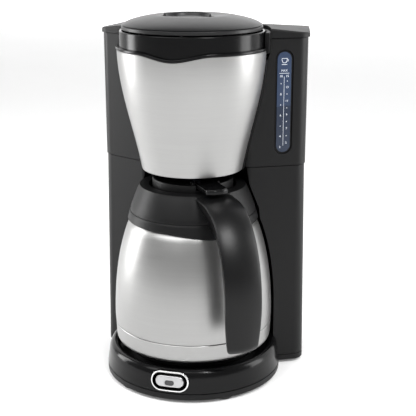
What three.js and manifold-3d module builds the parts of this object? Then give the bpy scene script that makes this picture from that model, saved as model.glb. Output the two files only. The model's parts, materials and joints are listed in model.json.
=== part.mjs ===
// A drip coffee maker with a thermal jug. Millimetres, +Z up, front towards -Y.
// The jug, the brew housing and the round base share one upright axis, at X = 0, Y = 0 while modelling;
// the whole group is then moved so that its origin is the centre of the footprint, on the table.
import * as THREE from "three";
import { mergeVertices } from "three/addons/utils/BufferGeometryUtils.js";
import Module from "manifold-3d";

const wasm = await Module();
wasm.setup();

// ---- driving dimensions ----
const gap = 0.4; // between neighbouring pieces
const wall = 2.4; // moulded walls
const roundSteps = 24; // facets round a large circle
const smallSteps = 10; // facets round a small one

const footHeight = 3;
const footRadius = 8;
const plateTop = 8.7; // top of the bottom plate
const plateFloor = 2.4; // thickness of the plate's floor

const baseRadius = 82.9;
const baseShoulderRadius = 81.5;
const baseShoulderZ = 19;
const baseCrestRadius = 75.5;
const baseCrestZ = 30.5;
const baseWellRadius = 70.5; // inner foot of the crest
const baseWellZ = 26;

const columnHalfWidth = 98;
const columnRearY = 103;
const columnTopZ = 199.2; // seam between the column and the tank
const columnFlare = 3; // extra half width at the foot
const tankOverhang = 0.8; // how far the tank stands proud of the column
const wingInnerX = 53.4; // where the swept wing faces begin
const wingInnerY = 10;
const wingSweep = THREE.MathUtils.degToRad(27);
const wingCornerX = columnHalfWidth + 1.5; // where a wing's face and the side would meet
const wingCornerRadius = 13;
const sideTaper = THREE.MathUtils.degToRad(10); // the sides draw in towards the rear
const rearCornerRadius = 16;
const tankTopZ = 316.7;
const capOverhang = 1.7;
const capRidgeZ = 326.4;
const capEdgeZ = 321.4;
const capRidgeHalf = 62; // half width of the level middle of the cap
const capFallY = 50; // where the cap begins to fall towards the rear
const capRearFall = 6.3;

const housingFootRadius = 46.7;
const housingFootZ = 199.8;
const panelTopRadius = 67.4;
const panelTopZ = 307.9;
const panelDip = 4.9; // how far the panel's top edge dips at the front
const panelDipHalf = 34; // half width of the dip
const panelThickness = 1;
const cheekProud = 0.8; // housing beside the panel, proud of the steel
const trimHeight = 2.8;
const trimProud = 0.8;
const bandRadius = 65;
const bandFootZ = 299.6;
const bandTopZ = 324.6;
const frameRadius = 69.6; // ring behind the band

const lidRadius = 63;
const lidRimZ = 325.4;
const lidCreaseZ = 329.5;
const lidTopZ = 340;
const lidWall = 2.2;
const hingeY = 95;
const hingeZ = 323;
const hingePinRadius = 1.6;
const barrelRadius = 3.6;
const barrelHalf = 21;
const knuckleWidth = 11;
const tongueHalf = 34;
const tongueBottomZ = 321.4;
const tongueTopZ = 325;
const pitFloorZ = 318.6; // floor of the pit in the cap below the lid's tongue
const fillHalf = 26; // half width of the water inlet
const fillFrontY = 75;
const fillRearY = 88;

const jugFootZ = 33.8;
const jugMaxRadius = 74.5;
const jugFootRadius = jugMaxRadius - 7.5;
const jugHeelRadius = jugMaxRadius - 0.9;
const jugHeelZ = 39;
const jugSeamZ = 52;
const jugMaxZ = 58;
const jugShoulderRadius = 59.8;
const jugShoulderZ = 150;
const jugWall = 1.2;
const linerClearance = 6; // vacuum space between the two walls
const neckRadius = 36; // outside of the liner's neck
const collarFootRadius = 58.7;
const collarFootZ = 160.2;
const collarTopRadius = 49;
const collarTopZ = 184.5;
const collarMouthRadius = 40;
const bandEdgeZ = 152; // lower edge of the jug's band
const bandTongueZ = 146.6; // the same under the handle
const bayClearance = 3; // between the jug and the bay it stands in

const handleAzimuth = THREE.MathUtils.degToRad(36); // from the front towards +X
const handleReach = 116;
const handleBend = new THREE.Vector2(60, 98); // centre of the handle's bend, radius and height
const handleTopZ = 185;
const handleFootZ = 58;
const handleThickness = 15;
const handleArchZ = 155; // top of the finger gap
const handleTopWidth = 35;
const handleFootWidth = 29;
const handleBevel = 3.5;

const jugLidRadius = 37.5;
const jugLidTopZ = 191;
const jugLidDishZ = 187;
const jugLidFootZ = 165;
const jugLidSkirtRadius = 31;
const leverPivotRadius = 31;
const leverPinRadius = 1.4;
const leverInner = 24;
const leverReach = 66;
const leverWidth = 20.5;
const leverBottomZ = 188.4;
const leverTopZ = 192.4;
const pourValveRadius = 29;
const pourValveTopZ = 164.5;

const restPlateRadius = 62;
const restPlateTopZ = 33.4;

const switchZ = 20.6;
const switchTilt = THREE.MathUtils.degToRad(9);
const switchFaceRadius = 81.6; // where the switch's face stands, from the axis
const bezelDepth = 4;
const bezelWidth = 35.3;
const bezelHeight = 18.5;
const bezelRim = 1.6;
const buttonWidth = 28.6;
const buttonHeight = 12.6;
const buttonDepth = 7;
const buttonTravel = 2.5;
const lensWidth = 8.4;
const lensHeight = 4.2;

const windowAlong = 29.5; // distance of the window's middle along the wing face
const windowWidth = 13.2;
const windowFootZ = 212.5;
const windowHeadZ = 304.5;
const windowRecess = 1.5; // width of the bevel round the window
const windowDepth = 1.6; // how far the window lies below the wing face

const basketRimRadius = 59;
const basketRimZ = 317;
const basketFootRadius = 15;
const basketFootZ = 205;
const basketFloorTopZ = 207.5;
const basketWall = 2;
const outletRadius = 6; // hole in the basket's floor
const valveStemRadius = 3.4;
const valveFootRadius = 9;
const valveFootZ = 192.6;
const valveHeadRadius = 10;
const valveLift = 6.1; // head above the basket's floor while the jug is in

const heaterRadius = 42;
const heaterTube = 6;
const heaterZ = baseWellZ - wall - 6.1; // below the base's ceiling
const heaterY = -8;
const riserX = -44;
const riserY = 86;
const riserRadius = 4;
const riserElbowZ = 312;
const inletX = 44;
const inletY = 86;
const hoseRadius = 5;
const glandX = 50;
const glandZ = 38;
const glandRadius = 6.5;
const leadBore = 3.6; // radius of the gland's hole
const rearDoorHalf = 66;
const rearDoorLowZ = 22;
const rearDoorHighZ = 186;

// ---- materials ----
const finish = (color, roughness, metalness = 0) =>
  new THREE.MeshStandardMaterial({ color, roughness, metalness });
const satinBlack = finish(0x1c1c1e, 0.42);
const glossBlack = finish(0x0d0d0f, 0.12);
const lidBlack = finish(0x2a2a2c, 0.36);
const handleBlack = finish(0x171718, 0.48);
const steel = finish(0xb9b9b6, 0.32, 1);
const linerSteel = finish(0xa9abad, 0.3, 1);
const bezelMetal = finish(0xc8c9ca, 0.25, 1);
const buttonMetal = finish(0xb4b5b6, 0.35, 1);
const smokedLens = finish(0x242629, 0.2);
const windowBlue = finish(0x34425c, 0.15);
const rubber = finish(0x141414, 0.8);
const silicone = finish(0xd8d4ca, 0.55);
const aluminium = finish(0x9b9da0, 0.4, 1);
const fixingSteel = finish(0x8c8f93, 0.35, 1);
const innerPlastic = finish(0x303133, 0.55);
const ceramicWhite = finish(0xd9d6cc, 0.6);

// ---- solids ----
function solidOf(geometry) {
  const bare = geometry.clone();
  bare.deleteAttribute("normal");
  bare.deleteAttribute("uv");
  const merged = mergeVertices(bare, 1e-4);
  return new wasm.Manifold(
    new wasm.Mesh({
      numProp: 3,
      vertProperties: merged.attributes.position.array,
      triVerts: new Uint32Array(merged.index.array),
    }),
  );
}

function geometryOf(solid) {
  const mesh = solid.getMesh();
  const geometry = new THREE.BufferGeometry();
  geometry.setAttribute("position", new THREE.BufferAttribute(mesh.vertProperties, 3));
  geometry.setIndex(new THREE.BufferAttribute(mesh.triVerts, 1));
  geometry.computeVertexNormals();
  return geometry;
}

// A profile of [radius, height] points, turned about the upright axis through (x, y).
function turned(profile, steps = roundSteps, x = 0, y = 0) {
  const points = profile.map(([r, z]) => new THREE.Vector2(r, z));
  return solidOf(new THREE.LatheGeometry(points, steps).rotateX(Math.PI / 2).translate(x, y, 0));
}

// A closed loop of [radius, height] points, going up the outside and down the inside.
function ringOf(profile, steps = roundSteps, x = 0, y = 0) {
  return turned([...profile, profile[0]], steps, x, y);
}

function disc(radius, low, high, x = 0, y = 0, steps = smallSteps) {
  return turned([[0, low], [radius, low], [radius, high], [0, high]], steps, x, y);
}

function block(x0, x1, y0, y1, z0, z1) {
  const box = new THREE.BoxGeometry(x1 - x0, y1 - y0, z1 - z0);
  return solidOf(box.translate((x0 + x1) / 2, (y0 + y1) / 2, (z0 + z1) / 2));
}

function prism(outline, low, high) {
  const depth = high - low;
  const extruded = new THREE.ExtrudeGeometry(outline, { depth, bevelEnabled: false, curveSegments: 8 });
  return extruded.translate(0, 0, low);
}

// A prism of an outline drawn in X and Z, running from y0 to y1.
function frontPrism(outline, y0, y1) {
  return solidOf(prism(outline, -y1, -y0).rotateX(Math.PI / 2));
}

// A prism of an outline drawn in Y and Z, running from x0 to x1.
function sidePrism(outline, x0, x1) {
  return solidOf(prism(outline, x0, x1).rotateX(Math.PI / 2).rotateZ(Math.PI / 2));
}

function rodAlongX(radius, x0, x1, y, z, steps = smallSteps) {
  const rod = new THREE.CylinderGeometry(radius, radius, x1 - x0, steps).rotateZ(Math.PI / 2);
  return solidOf(rod.translate((x0 + x1) / 2, y, z));
}

function rodAlongY(radius, y0, y1, x, z, steps = smallSteps) {
  return solidOf(new THREE.CylinderGeometry(radius, radius, y1 - y0, steps).translate(x, (y0 + y1) / 2, z));
}

function circleShape(radius, hole = 0) {
  const shape = new THREE.Shape().absarc(0, 0, radius, 0, 2 * Math.PI, false);
  if (hole) shape.holes.push(new THREE.Path().absarc(0, 0, hole, 0, 2 * Math.PI, true));
  return shape;
}

// A pipe along a smooth curve through the points, open inside when it has a bore.
function pipe(points, radius, bore = 0, steps = 16) {
  const path = new THREE.CatmullRomCurve3(points.map((p) => new THREE.Vector3(...p)));
  const shape = circleShape(radius, bore);
  const options = { steps, extrudePath: path, bevelEnabled: false, curveSegments: 4 };
  return solidOf(new THREE.ExtrudeGeometry(shape, options));
}

class Helix extends THREE.Curve {
  constructor(radius, low, high, turns, x = 0, y = 0) {
    super();
    Object.assign(this, { radius, low, high, turns, x, y });
  }

  getPoint(t, target = new THREE.Vector3()) {
    const angle = 2 * Math.PI * this.turns * t;
    const z = this.low + (this.high - this.low) * t;
    return target.set(this.x + this.radius * Math.cos(angle), this.y + this.radius * Math.sin(angle), z);
  }
}

function coilSpring(radius, wire, low, high, turns) {
  const path = new Helix(radius, low + wire, high - wire, turns);
  const options = { steps: turns * 8, extrudePath: path, bevelEnabled: false, curveSegments: 2 };
  return solidOf(new THREE.ExtrudeGeometry(circleShape(wire), options));
}

// Corners of [x, y, radius], each rounded by an arc.
function roundedOutline(corners, steps = 3) {
  const points = [];
  corners.forEach(([x, y, radius], i) => {
    const corner = new THREE.Vector2(x, y);
    if (!radius) {
      points.push(corner);
      return;
    }
    const [px, py] = corners[(i + corners.length - 1) % corners.length];
    const [nx, ny] = corners[(i + 1) % corners.length];
    const back = new THREE.Vector2(px, py).sub(corner).normalize();
    const ahead = new THREE.Vector2(nx, ny).sub(corner).normalize();
    const half = Math.acos(THREE.MathUtils.clamp(back.dot(ahead), -1, 1)) / 2;
    const centre = back.clone().add(ahead).normalize().multiplyScalar(radius / Math.sin(half)).add(corner);
    const start = corner.clone().addScaledVector(back, radius / Math.tan(half)).sub(centre);
    const end = corner.clone().addScaledVector(ahead, radius / Math.tan(half)).sub(centre);
    const turn = Math.atan2(start.cross(end), start.dot(end));
    for (let k = 0; k <= steps; k += 1) {
      points.push(start.clone().rotateAround(new THREE.Vector2(), (turn * k) / steps).add(centre));
    }
  });
  return new THREE.Shape(points);
}

// A long round-ended outline, upright or lying, about the origin.
function stadium(width, height) {
  const radius = Math.min(width, height) / 2 - 0.01;
  const [x, y] = [width / 2, height / 2];
  return roundedOutline([[-x, -y, radius], [x, -y, radius], [x, y, radius], [-x, y, radius]], 4);
}

// Samples a cubic curve in [radius, height], given its end points and its two handles.
function bent(from, fromHandle, toHandle, to, steps) {
  const points = [from, fromHandle, toHandle, to].map(([r, z]) => new THREE.Vector2(r, z));
  return new THREE.CubicBezierCurve(...points).getPoints(steps).map((p) => [p.x, p.y]);
}

const grown = (profile, by) => profile.map(([r, z]) => [r + by, z]);

// ---- outlines shared by several pieces ----
// Outside of the steel panel: a waisted cup, from the housing's foot to the panel's top edge.
const panelRise = panelTopZ - housingFootZ;
const panelProfile = bent(
  [housingFootRadius, housingFootZ],
  [housingFootRadius + 6.1, housingFootZ + 0.33 * panelRise],
  [panelTopRadius - 0.9, housingFootZ + 0.65 * panelRise],
  [panelTopRadius, panelTopZ],
  5,
);

// Outside of the jug's steel wall, from its widest height to the shoulder.
const jugRise = jugShoulderZ - jugMaxZ;
const jugWallProfile = bent(
  [jugMaxRadius, jugMaxZ],
  [jugMaxRadius, jugMaxZ + 0.4 * jugRise],
  [jugMaxRadius - 5, jugMaxZ + 0.74 * jugRise],
  [jugShoulderRadius, jugShoulderZ],
  5,
);

function wingFaceY(x, grow) {
  return wingInnerY + (x - wingInnerX) * Math.tan(wingSweep) - grow / Math.cos(wingSweep);
}

// Plan of the column: swept wing faces in front, straight sides, rounded rear corners.
function columnOutline(grow) {
  const frontY = wingInnerY - grow;
  const kneeX = wingInnerX + grow * Math.tan(wingSweep / 2);
  const taper = Math.tan(sideTaper);
  const spread = (1 / Math.cos(sideTaper) + taper / Math.cos(wingSweep)) / (1 + taper * Math.tan(wingSweep));
  const side = wingCornerX + grow * spread;
  const sideY = wingFaceY(side, grow);
  const rear = columnRearY + grow;
  const right = [
    [kneeX, frontY, 0],
    [side, sideY, wingCornerRadius + grow],
    [side - (rear - sideY) * taper, rear, rearCornerRadius + grow],
  ];
  const left = right.map(([x, y, radius]) => [-x, y, radius]).reverse();
  return roundedOutline([...right, ...left]);
}

const columnPrism = (grow, low, high) => solidOf(prism(columnOutline(grow), low, high));

// The same, but widening towards the foot.
function flaredPrism(grow, low, high) {
  const geometry = prism(columnOutline(grow), low, high);
  const at = geometry.attributes.position;
  for (let i = 0; i < at.count; i += 1) {
    const drop = (columnTopZ - at.getZ(i)) / (columnTopZ - footHeight);
    at.setX(i, at.getX(i) * (1 + (columnFlare * drop) / columnHalfWidth));
  }
  return solidOf(geometry);
}

// The space that the jug stands in.
function bay(clear, top) {
  const collar = grown([[collarFootRadius, collarFootZ], [collarTopRadius, collarTopZ]], clear);
  const body = [[jugMaxRadius + clear, 0], ...grown(jugWallProfile, clear), ...collar];
  return turned([[0, 0], ...body, [housingFootRadius + clear, top], [0, top]]);
}

// The space that the brew housing and its panel stand in.
function cupSpace(clear, top) {
  const skin = grown(panelProfile, cheekProud + clear);
  const profile = [[housingFootRadius + cheekProud + clear, columnTopZ - 1], ...skin];
  const rim = [[frameRadius + clear, panelTopZ - trimHeight], [frameRadius + clear, top]];
  return turned([[0, columnTopZ - 1], ...profile.filter(([, z]) => z < rim[0][1]), ...rim, [0, top]]);
}

// Everything above the panel's wavy top edge, raised by lift.
function aboveWave(lift) {
  const far = frameRadius + 20;
  const edge = panelTopZ + lift;
  const shape = new THREE.Shape();
  shape.moveTo(-far, edge);
  shape.lineTo(-panelDipHalf, edge);
  shape.bezierCurveTo(-panelDipHalf / 2, edge, -panelDipHalf / 2, edge - panelDip, 0, edge - panelDip);
  shape.bezierCurveTo(panelDipHalf / 2, edge - panelDip, panelDipHalf / 2, edge, panelDipHalf, edge);
  shape.lineTo(far, edge);
  shape.lineTo(far, edge + 40);
  shape.lineTo(-far, edge + 40);
  return frontPrism(shape, -far, far);
}

const frontHalf = block(-150, 150, -150, 0, 100, 400);
const rearHalf = block(-150, 150, gap, 150, 100, 400);

// ---- assembly ----
const coffeeMaker = new THREE.Group();

function addPiece(name, solid, material, group = coffeeMaker) {
  const mesh = new THREE.Mesh(geometryOf(solid), material);
  mesh.name = name;
  group.add(mesh);
  return mesh;
}

// ---- base ----
const feetAt = [[-44, -58], [44, -58], [-74, 82], [74, 82]];
const screwsAt = [[-66, -22], [66, -22], [-48, 88], [28, 88]];
const screwHeadRadius = 3.6;
const screwShankRadius = 1.5;
const screwPocketDepth = 1.6;
const screwTipZ = 16;
const bossRadius = 3.6;

function footprint(grow, low, high) {
  const round = disc(baseRadius + grow, low, high, 0, 0, roundSteps);
  return round.add(flaredPrism(grow - tankOverhang, low, high));
}

// A hollow post that a screw of the bottom plate bites into.
function boss(x, y, top) {
  const bore = screwShankRadius + gap;
  const foot = plateTop + gap;
  return ringOf([[bossRadius, foot], [bossRadius, top], [bore, top], [bore, foot]], 12, x, y);
}

function makeBottomPlate() {
  let plate = footprint(-1, footHeight, footHeight + 1).add(footprint(0, footHeight + 1, plateTop));
  plate = plate.subtract(footprint(-wall, footHeight + plateFloor, plateTop + 1));
  for (const [x, y] of screwsAt) {
    plate = plate.subtract(disc(screwHeadRadius + gap, 0, footHeight + screwPocketDepth, x, y));
    plate = plate.subtract(disc(screwShankRadius + gap, 0, plateTop, x, y));
  }
  addPiece("bottom_plate", plate, innerPlastic);
  feetAt.forEach(([x, y], i) => {
    const foot = turned(
      [[0, 0], [footRadius - 1, 0], [footRadius, 1], [footRadius, footHeight - gap], [0, footHeight - gap]],
      smallSteps,
      x,
      y,
    );
    addPiece(`foot_${i + 1}`, foot, rubber);
  });
  screwsAt.forEach(([x, y], i) => {
    const seat = footHeight + screwPocketDepth - gap;
    const head = disc(screwHeadRadius, seat - 1.4, seat, x, y, 12);
    const cross = block(x - 2, x + 2, y - 0.5, y + 0.5, seat - 2, seat - 0.7);
    const shank = disc(screwShankRadius, seat - 0.1, screwTipZ, x, y, 8);
    addPiece(`plate_screw_${i + 1}`, head.add(shank).subtract(cross), fixingSteel);
  });
}

// Frame of the switch: on the front of the base, tilted back with the wall.
function placeSwitch(geometry) {
  geometry.rotateX(Math.PI / 2 - switchTilt);
  return geometry.translate(0, -switchFaceRadius, switchZ);
}

function switchPrism(outline, behind, before) {
  return solidOf(placeSwitch(prism(outline, -behind, before)));
}

function makeBase() {
  const crest = bent(
    [baseShoulderRadius, baseShoulderZ],
    [baseShoulderRadius - 0.6, baseCrestZ - 4],
    [baseCrestRadius + 3.5, baseCrestZ],
    [baseCrestRadius, baseCrestZ],
    4,
  );
  const foot = plateTop + gap;
  const outside = [[baseRadius, foot], ...crest, [baseWellRadius, baseWellZ], [0, baseWellZ]];
  const inside = [
    [baseRadius - wall, foot - 1],
    [baseShoulderRadius - wall, baseShoulderZ],
    [baseCrestRadius - wall / 2, baseCrestZ - wall - 1],
    [baseWellRadius, baseWellZ - wall],
    [0, baseWellZ - wall],
  ];
  const shell = turned([[0, foot], ...outside]).subtract(turned([[0, foot - 1], ...inside]));
  const column = flaredPrism(gap - tankOverhang, 0, columnTopZ)
    .subtract(bay(bayClearance - gap, columnTopZ + 1));
  const opening = switchPrism(stadium(bezelWidth + 2 * gap, bezelHeight + 2 * gap), 12, 9);
  let base = shell.subtract(column).subtract(opening);
  for (const [x, y] of screwsAt.slice(0, 2)) base = base.add(boss(x, y, baseWellZ - 1));
  addPiece("base_shell", base, glossBlack);

  const groove = restPlateRadius - 5;
  const rest = turned([
    [0, baseWellZ + gap],
    [restPlateRadius - 1, baseWellZ + gap],
    [restPlateRadius, restPlateTopZ - 1.5],
    [restPlateRadius - 1.5, restPlateTopZ],
    [groove, restPlateTopZ],
    [groove - 2, restPlateTopZ - 0.8],
    [0, restPlateTopZ - 0.8],
  ]);
  addPiece("jug_rest_plate", rest, satinBlack);
}

function makeSwitch(buttonGroup) {
  const rim = stadium(bezelWidth, bezelHeight);
  rim.holes.push(stadium(bezelWidth - 2 * bezelRim, bezelHeight - 2 * bezelRim));
  addPiece("switch_bezel", switchPrism(rim, bezelDepth, 0.8), bezelMetal);
  const lensCut = switchPrism(stadium(lensWidth + gap, lensHeight + gap), -0.2, 5);
  const button = switchPrism(stadium(buttonWidth, buttonHeight), buttonDepth, 1.1);
  addPiece("power_button", button.subtract(lensCut), buttonMetal, buttonGroup);
  const lens = switchPrism(stadium(lensWidth - gap, lensHeight - gap), -0.6, 1.3);
  addPiece("button_lens", lens, smokedLens, buttonGroup);
  const bodyBack = buttonDepth + buttonTravel + 13;
  const bodyHeight = 2 * (6.9 - wall); // between the base's crest and the bottom plate
  const body = switchPrism(stadium(24, bodyHeight), bodyBack, -buttonDepth - buttonTravel - 1);
  addPiece("switch_body", body, innerPlastic);
}

// ---- column ----
function makeColumn() {
  const foot = plateTop + gap;
  const outside = flaredPrism(-tankOverhang, foot, columnTopZ).subtract(bay(bayClearance, columnTopZ + 1));
  const inside = flaredPrism(-tankOverhang - wall, foot - 1, columnTopZ - wall);
  const hollow = inside.subtract(bay(bayClearance + wall, columnTopZ + 1));
  const door = block(
    -rearDoorHalf, rearDoorHalf, columnRearY - 8, columnRearY + 5, rearDoorLowZ, rearDoorHighZ,
  );
  const hoseHoles = [[riserX, riserY, riserRadius], [inletX, inletY, hoseRadius]];
  let shell = outside.subtract(hollow).subtract(door);
  for (const x of [riserX, inletX]) {
    const room = hoseRadius + 2;
    shell = shell.subtract(block(x - room, x + room, 30, 84, 0, heaterZ + room));
  }
  for (const [x, y, radius] of hoseHoles) {
    shell = shell.subtract(disc(radius + 2, columnTopZ - 6, columnTopZ + 1, x, y));
  }
  for (const [x, y] of screwsAt.slice(2)) {
    const top = screwTipZ + 0.8;
    const rear = columnRearY - tankOverhang - 1;
    const web = block(x - 1.2, x + 1.2, y + bossRadius - 0.4, rear, foot, top);
    shell = shell.add(boss(x, y, top)).add(web);
  }
  addPiece("column_shell", shell, satinBlack);

  let cover = block(
    -rearDoorHalf + gap, rearDoorHalf - gap,
    columnRearY - tankOverhang - wall, columnRearY - tankOverhang,
    rearDoorLowZ + gap, rearDoorHighZ - gap,
  );
  for (let row = 0; row < 6; row += 1) {
    const z = rearDoorHighZ - 20 - row * 7;
    cover = cover.subtract(block(-24, 24, columnRearY - 10, columnRearY + 5, z, z + 3));
  }
  cover = cover.subtract(rodAlongY(glandRadius + gap, columnRearY - 10, columnRearY + 5, glandX, glandZ));
  addPiece("rear_cover", cover, satinBlack);
  const gland = rodAlongY(glandRadius, columnRearY - 8, columnRearY - tankOverhang + 0.4, glandX, glandZ)
    .subtract(rodAlongY(leadBore, columnRearY - 9, columnRearY + 5, glandX, glandZ));
  addPiece("cord_gland", gland, rubber);
}

// ---- tank ----
// Room for the riser's level end, between two shares of the way from the axis to the riser,
// open upwards by rise.
function spoutPath(from, to, rise = 0) {
  const length = Math.hypot(riserX, riserY);
  const radius = riserRadius + gap;
  const rod = new THREE.CylinderGeometry(radius, radius, (to - from) * length, smallSteps);
  const slot = new THREE.BoxGeometry(2 * radius, (to - from) * length, rise || 0.1).translate(0, 0, rise / 2);
  const turn = Math.atan2(-riserX, riserY);
  const place = (geometry) => solidOf(
    geometry.translate(0, ((from + to) / 2) * length, riserElbowZ).rotateZ(turn),
  );
  return place(rod).add(place(slot));
}

// A prism whose length lies across the right wing's face, at the level window.
function windowPrism(outline, low, high) {
  const geometry = prism(outline, low, high);
  geometry.rotateX(Math.PI / 2);
  geometry.rotateZ(wingSweep);
  const x = wingInnerX + windowAlong * Math.cos(wingSweep);
  const y = wingInnerY + windowAlong * Math.sin(wingSweep);
  return solidOf(geometry.translate(x, y, (windowFootZ + windowHeadZ) / 2));
}

function makeTank() {
  const foot = columnTopZ + gap;
  const outside = columnPrism(0, foot, tankTopZ).subtract(cupSpace(gap, tankTopZ + 1));
  const inside = columnPrism(-wall, foot + wall, tankTopZ + 1).subtract(cupSpace(gap + wall, tankTopZ + 1));
  const height = windowHeadZ - windowFootZ;
  const recess = stadium(windowWidth + 2 * windowRecess, height + 2 * windowRecess);
  const opening = stadium(windowWidth - 2, height - 2);
  let tank = outside.subtract(inside);
  tank = tank.subtract(windowPrism(recess, -windowDepth, 6));
  tank = tank.subtract(windowPrism(opening, -8, 6));
  for (const [x, y, radius] of [[riserX, riserY, riserRadius + 1.4], [inletX, inletY, hoseRadius + 1.4]]) {
    tank = tank.subtract(disc(radius + gap, foot - 1, foot + wall + 1, x, y));
  }
  tank = tank.subtract(spoutPath(0.4, 0.88));
  addPiece("water_tank", tank, satinBlack);
  addPiece("level_window", windowPrism(stadium(windowWidth, height), 0.3 - windowDepth, 0.3), windowBlue);
}

// ---- top cap ----
const capSkirtFoot = tankTopZ + gap;

// The space under the cap's roof, which falls to both sides and to the rear, lowered by drop.
function capRoof(drop) {
  const far = columnHalfWidth + capOverhang + 5;
  const fall = (capRidgeZ - capEdgeZ) / (columnHalfWidth - capRidgeHalf);
  const low = capRidgeZ - (far - capRidgeHalf) * fall;
  const shape = new THREE.Shape();
  shape.moveTo(-far, 300);
  shape.lineTo(far, 300);
  shape.lineTo(far, low - drop);
  shape.lineTo(capRidgeHalf, capRidgeZ - drop);
  shape.lineTo(-capRidgeHalf, capRidgeZ - drop);
  shape.lineTo(-far, low - drop);
  return frontPrism(shape, -150, 150).subtract(overRearRoof(drop));
}

// The space over the part of the cap's roof that falls to the rear.
function overRearRoof(drop) {
  const slope = capRearFall / (columnRearY - capFallY);
  const far = 150;
  const shape = new THREE.Shape();
  shape.moveTo(capFallY, capRidgeZ - drop);
  shape.lineTo(far, capRidgeZ - drop - (far - capFallY) * slope);
  shape.lineTo(far, capRidgeZ + 40);
  shape.lineTo(capFallY, capRidgeZ + 40);
  return sidePrism(shape, -far, far);
}

function makeCap() {
  const pitHalf = tongueHalf + gap * 2;
  const outside = columnPrism(capOverhang, capSkirtFoot, capRidgeZ + 5).intersect(capRoof(0));
  const inside = columnPrism(capOverhang - wall, capSkirtFoot - 1, capRidgeZ).intersect(capRoof(wall));
  const within = columnPrism(capOverhang - 1, capSkirtFoot, capRidgeZ + 5).intersect(capRoof(0.5));
  const pitWalls = block(-pitHalf - 2, pitHalf + 2, 40, columnRearY + 1, capSkirtFoot, capRidgeZ)
    .intersect(within);
  const collar = disc(frameRadius + gap + wall, capSkirtFoot, capRidgeZ, 0, 0, roundSteps).intersect(within);
  let cap = outside.subtract(inside).add(pitWalls).add(collar);
  cap = cap.subtract(disc(frameRadius + gap, 300, 340, 0, 0, roundSteps));
  cap = cap.subtract(block(-pitHalf, pitHalf, 40, columnRearY + 10, pitFloorZ, 340));
  cap = cap.subtract(block(-fillHalf, fillHalf, fillFrontY, fillRearY, 300, 340));
  for (const side of [-1, 1]) {
    const inner = side * (barrelHalf + gap);
    const outer = side * (barrelHalf + gap + knuckleWidth);
    const [x0, x1] = [Math.min(inner, outer), Math.max(inner, outer)];
    const knuckle = rodAlongX(barrelRadius, x0, x1, hingeY, hingeZ)
      .add(block(x0, x1, hingeY - barrelRadius, hingeY + barrelRadius, pitFloorZ - 0.5, hingeZ));
    cap = cap.add(knuckle);
  }
  cap = cap.subtract(rodAlongX(hingePinRadius + gap, -33.5, 33.5, hingeY, hingeZ, 12));
  addPiece("top_cap", cap, satinBlack);
  addPiece("hinge_pin", rodAlongX(hingePinRadius, -31, 31, hingeY, hingeZ, 12), fixingSteel);
}

// ---- lid ----
function domeProfile(drop, inset) {
  const crease = [lidRadius - inset, lidCreaseZ - drop];
  const rise = lidTopZ - lidCreaseZ;
  const hold = [lidRadius - inset - 8, lidCreaseZ - drop + 0.62 * rise];
  return bent(crease, hold, [26, lidTopZ - drop], [0, lidTopZ - drop], 5);
}

function makeLid(lidGroup) {
  const outside = turned([[0, lidRimZ], [lidRadius - 0.6, lidRimZ], ...domeProfile(0, 0)]);
  const under = [[0, lidRimZ - 1], [lidRadius - lidWall, lidRimZ - 1], ...domeProfile(lidWall, lidWall)];
  const inside = turned(under);
  const tongue = block(-tongueHalf, tongueHalf, 40, hingeY - barrelRadius - 1, tongueBottomZ, tongueTopZ)
    .subtract(disc(bandRadius + gap, 300, lidRimZ - 0.6, 0, 0, roundSteps))
    .add(block(-tongueHalf, tongueHalf, 50, 64, lidRimZ - 0.8, lidCreaseZ - 1)
      .subtract(disc(lidRadius - lidWall, 300, 340, 0, 0, roundSteps)));
  const arm = block(-barrelHalf, barrelHalf, hingeY - 6, hingeY, tongueBottomZ, tongueTopZ);
  const barrel = rodAlongX(barrelRadius, -barrelHalf, barrelHalf, hingeY, hingeZ);
  const gripTop = lidTopZ - 0.3;
  const gripRing = ringOf([[17.5, 330], [17.5, gripTop], [15, gripTop], [15, 330]], roundSteps, 0, 4);
  const grip = gripRing.intersect(block(-16, 16, -20, -4, lidTopZ - 3, lidTopZ));
  let lid = outside.subtract(inside).add(tongue).add(arm).add(barrel);
  lid = lid.subtract(rodAlongX(hingePinRadius + gap, -40, 40, hingeY, hingeZ, 12));
  addPiece("lid", lid.add(grip), lidBlack, lidGroup);
}

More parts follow.
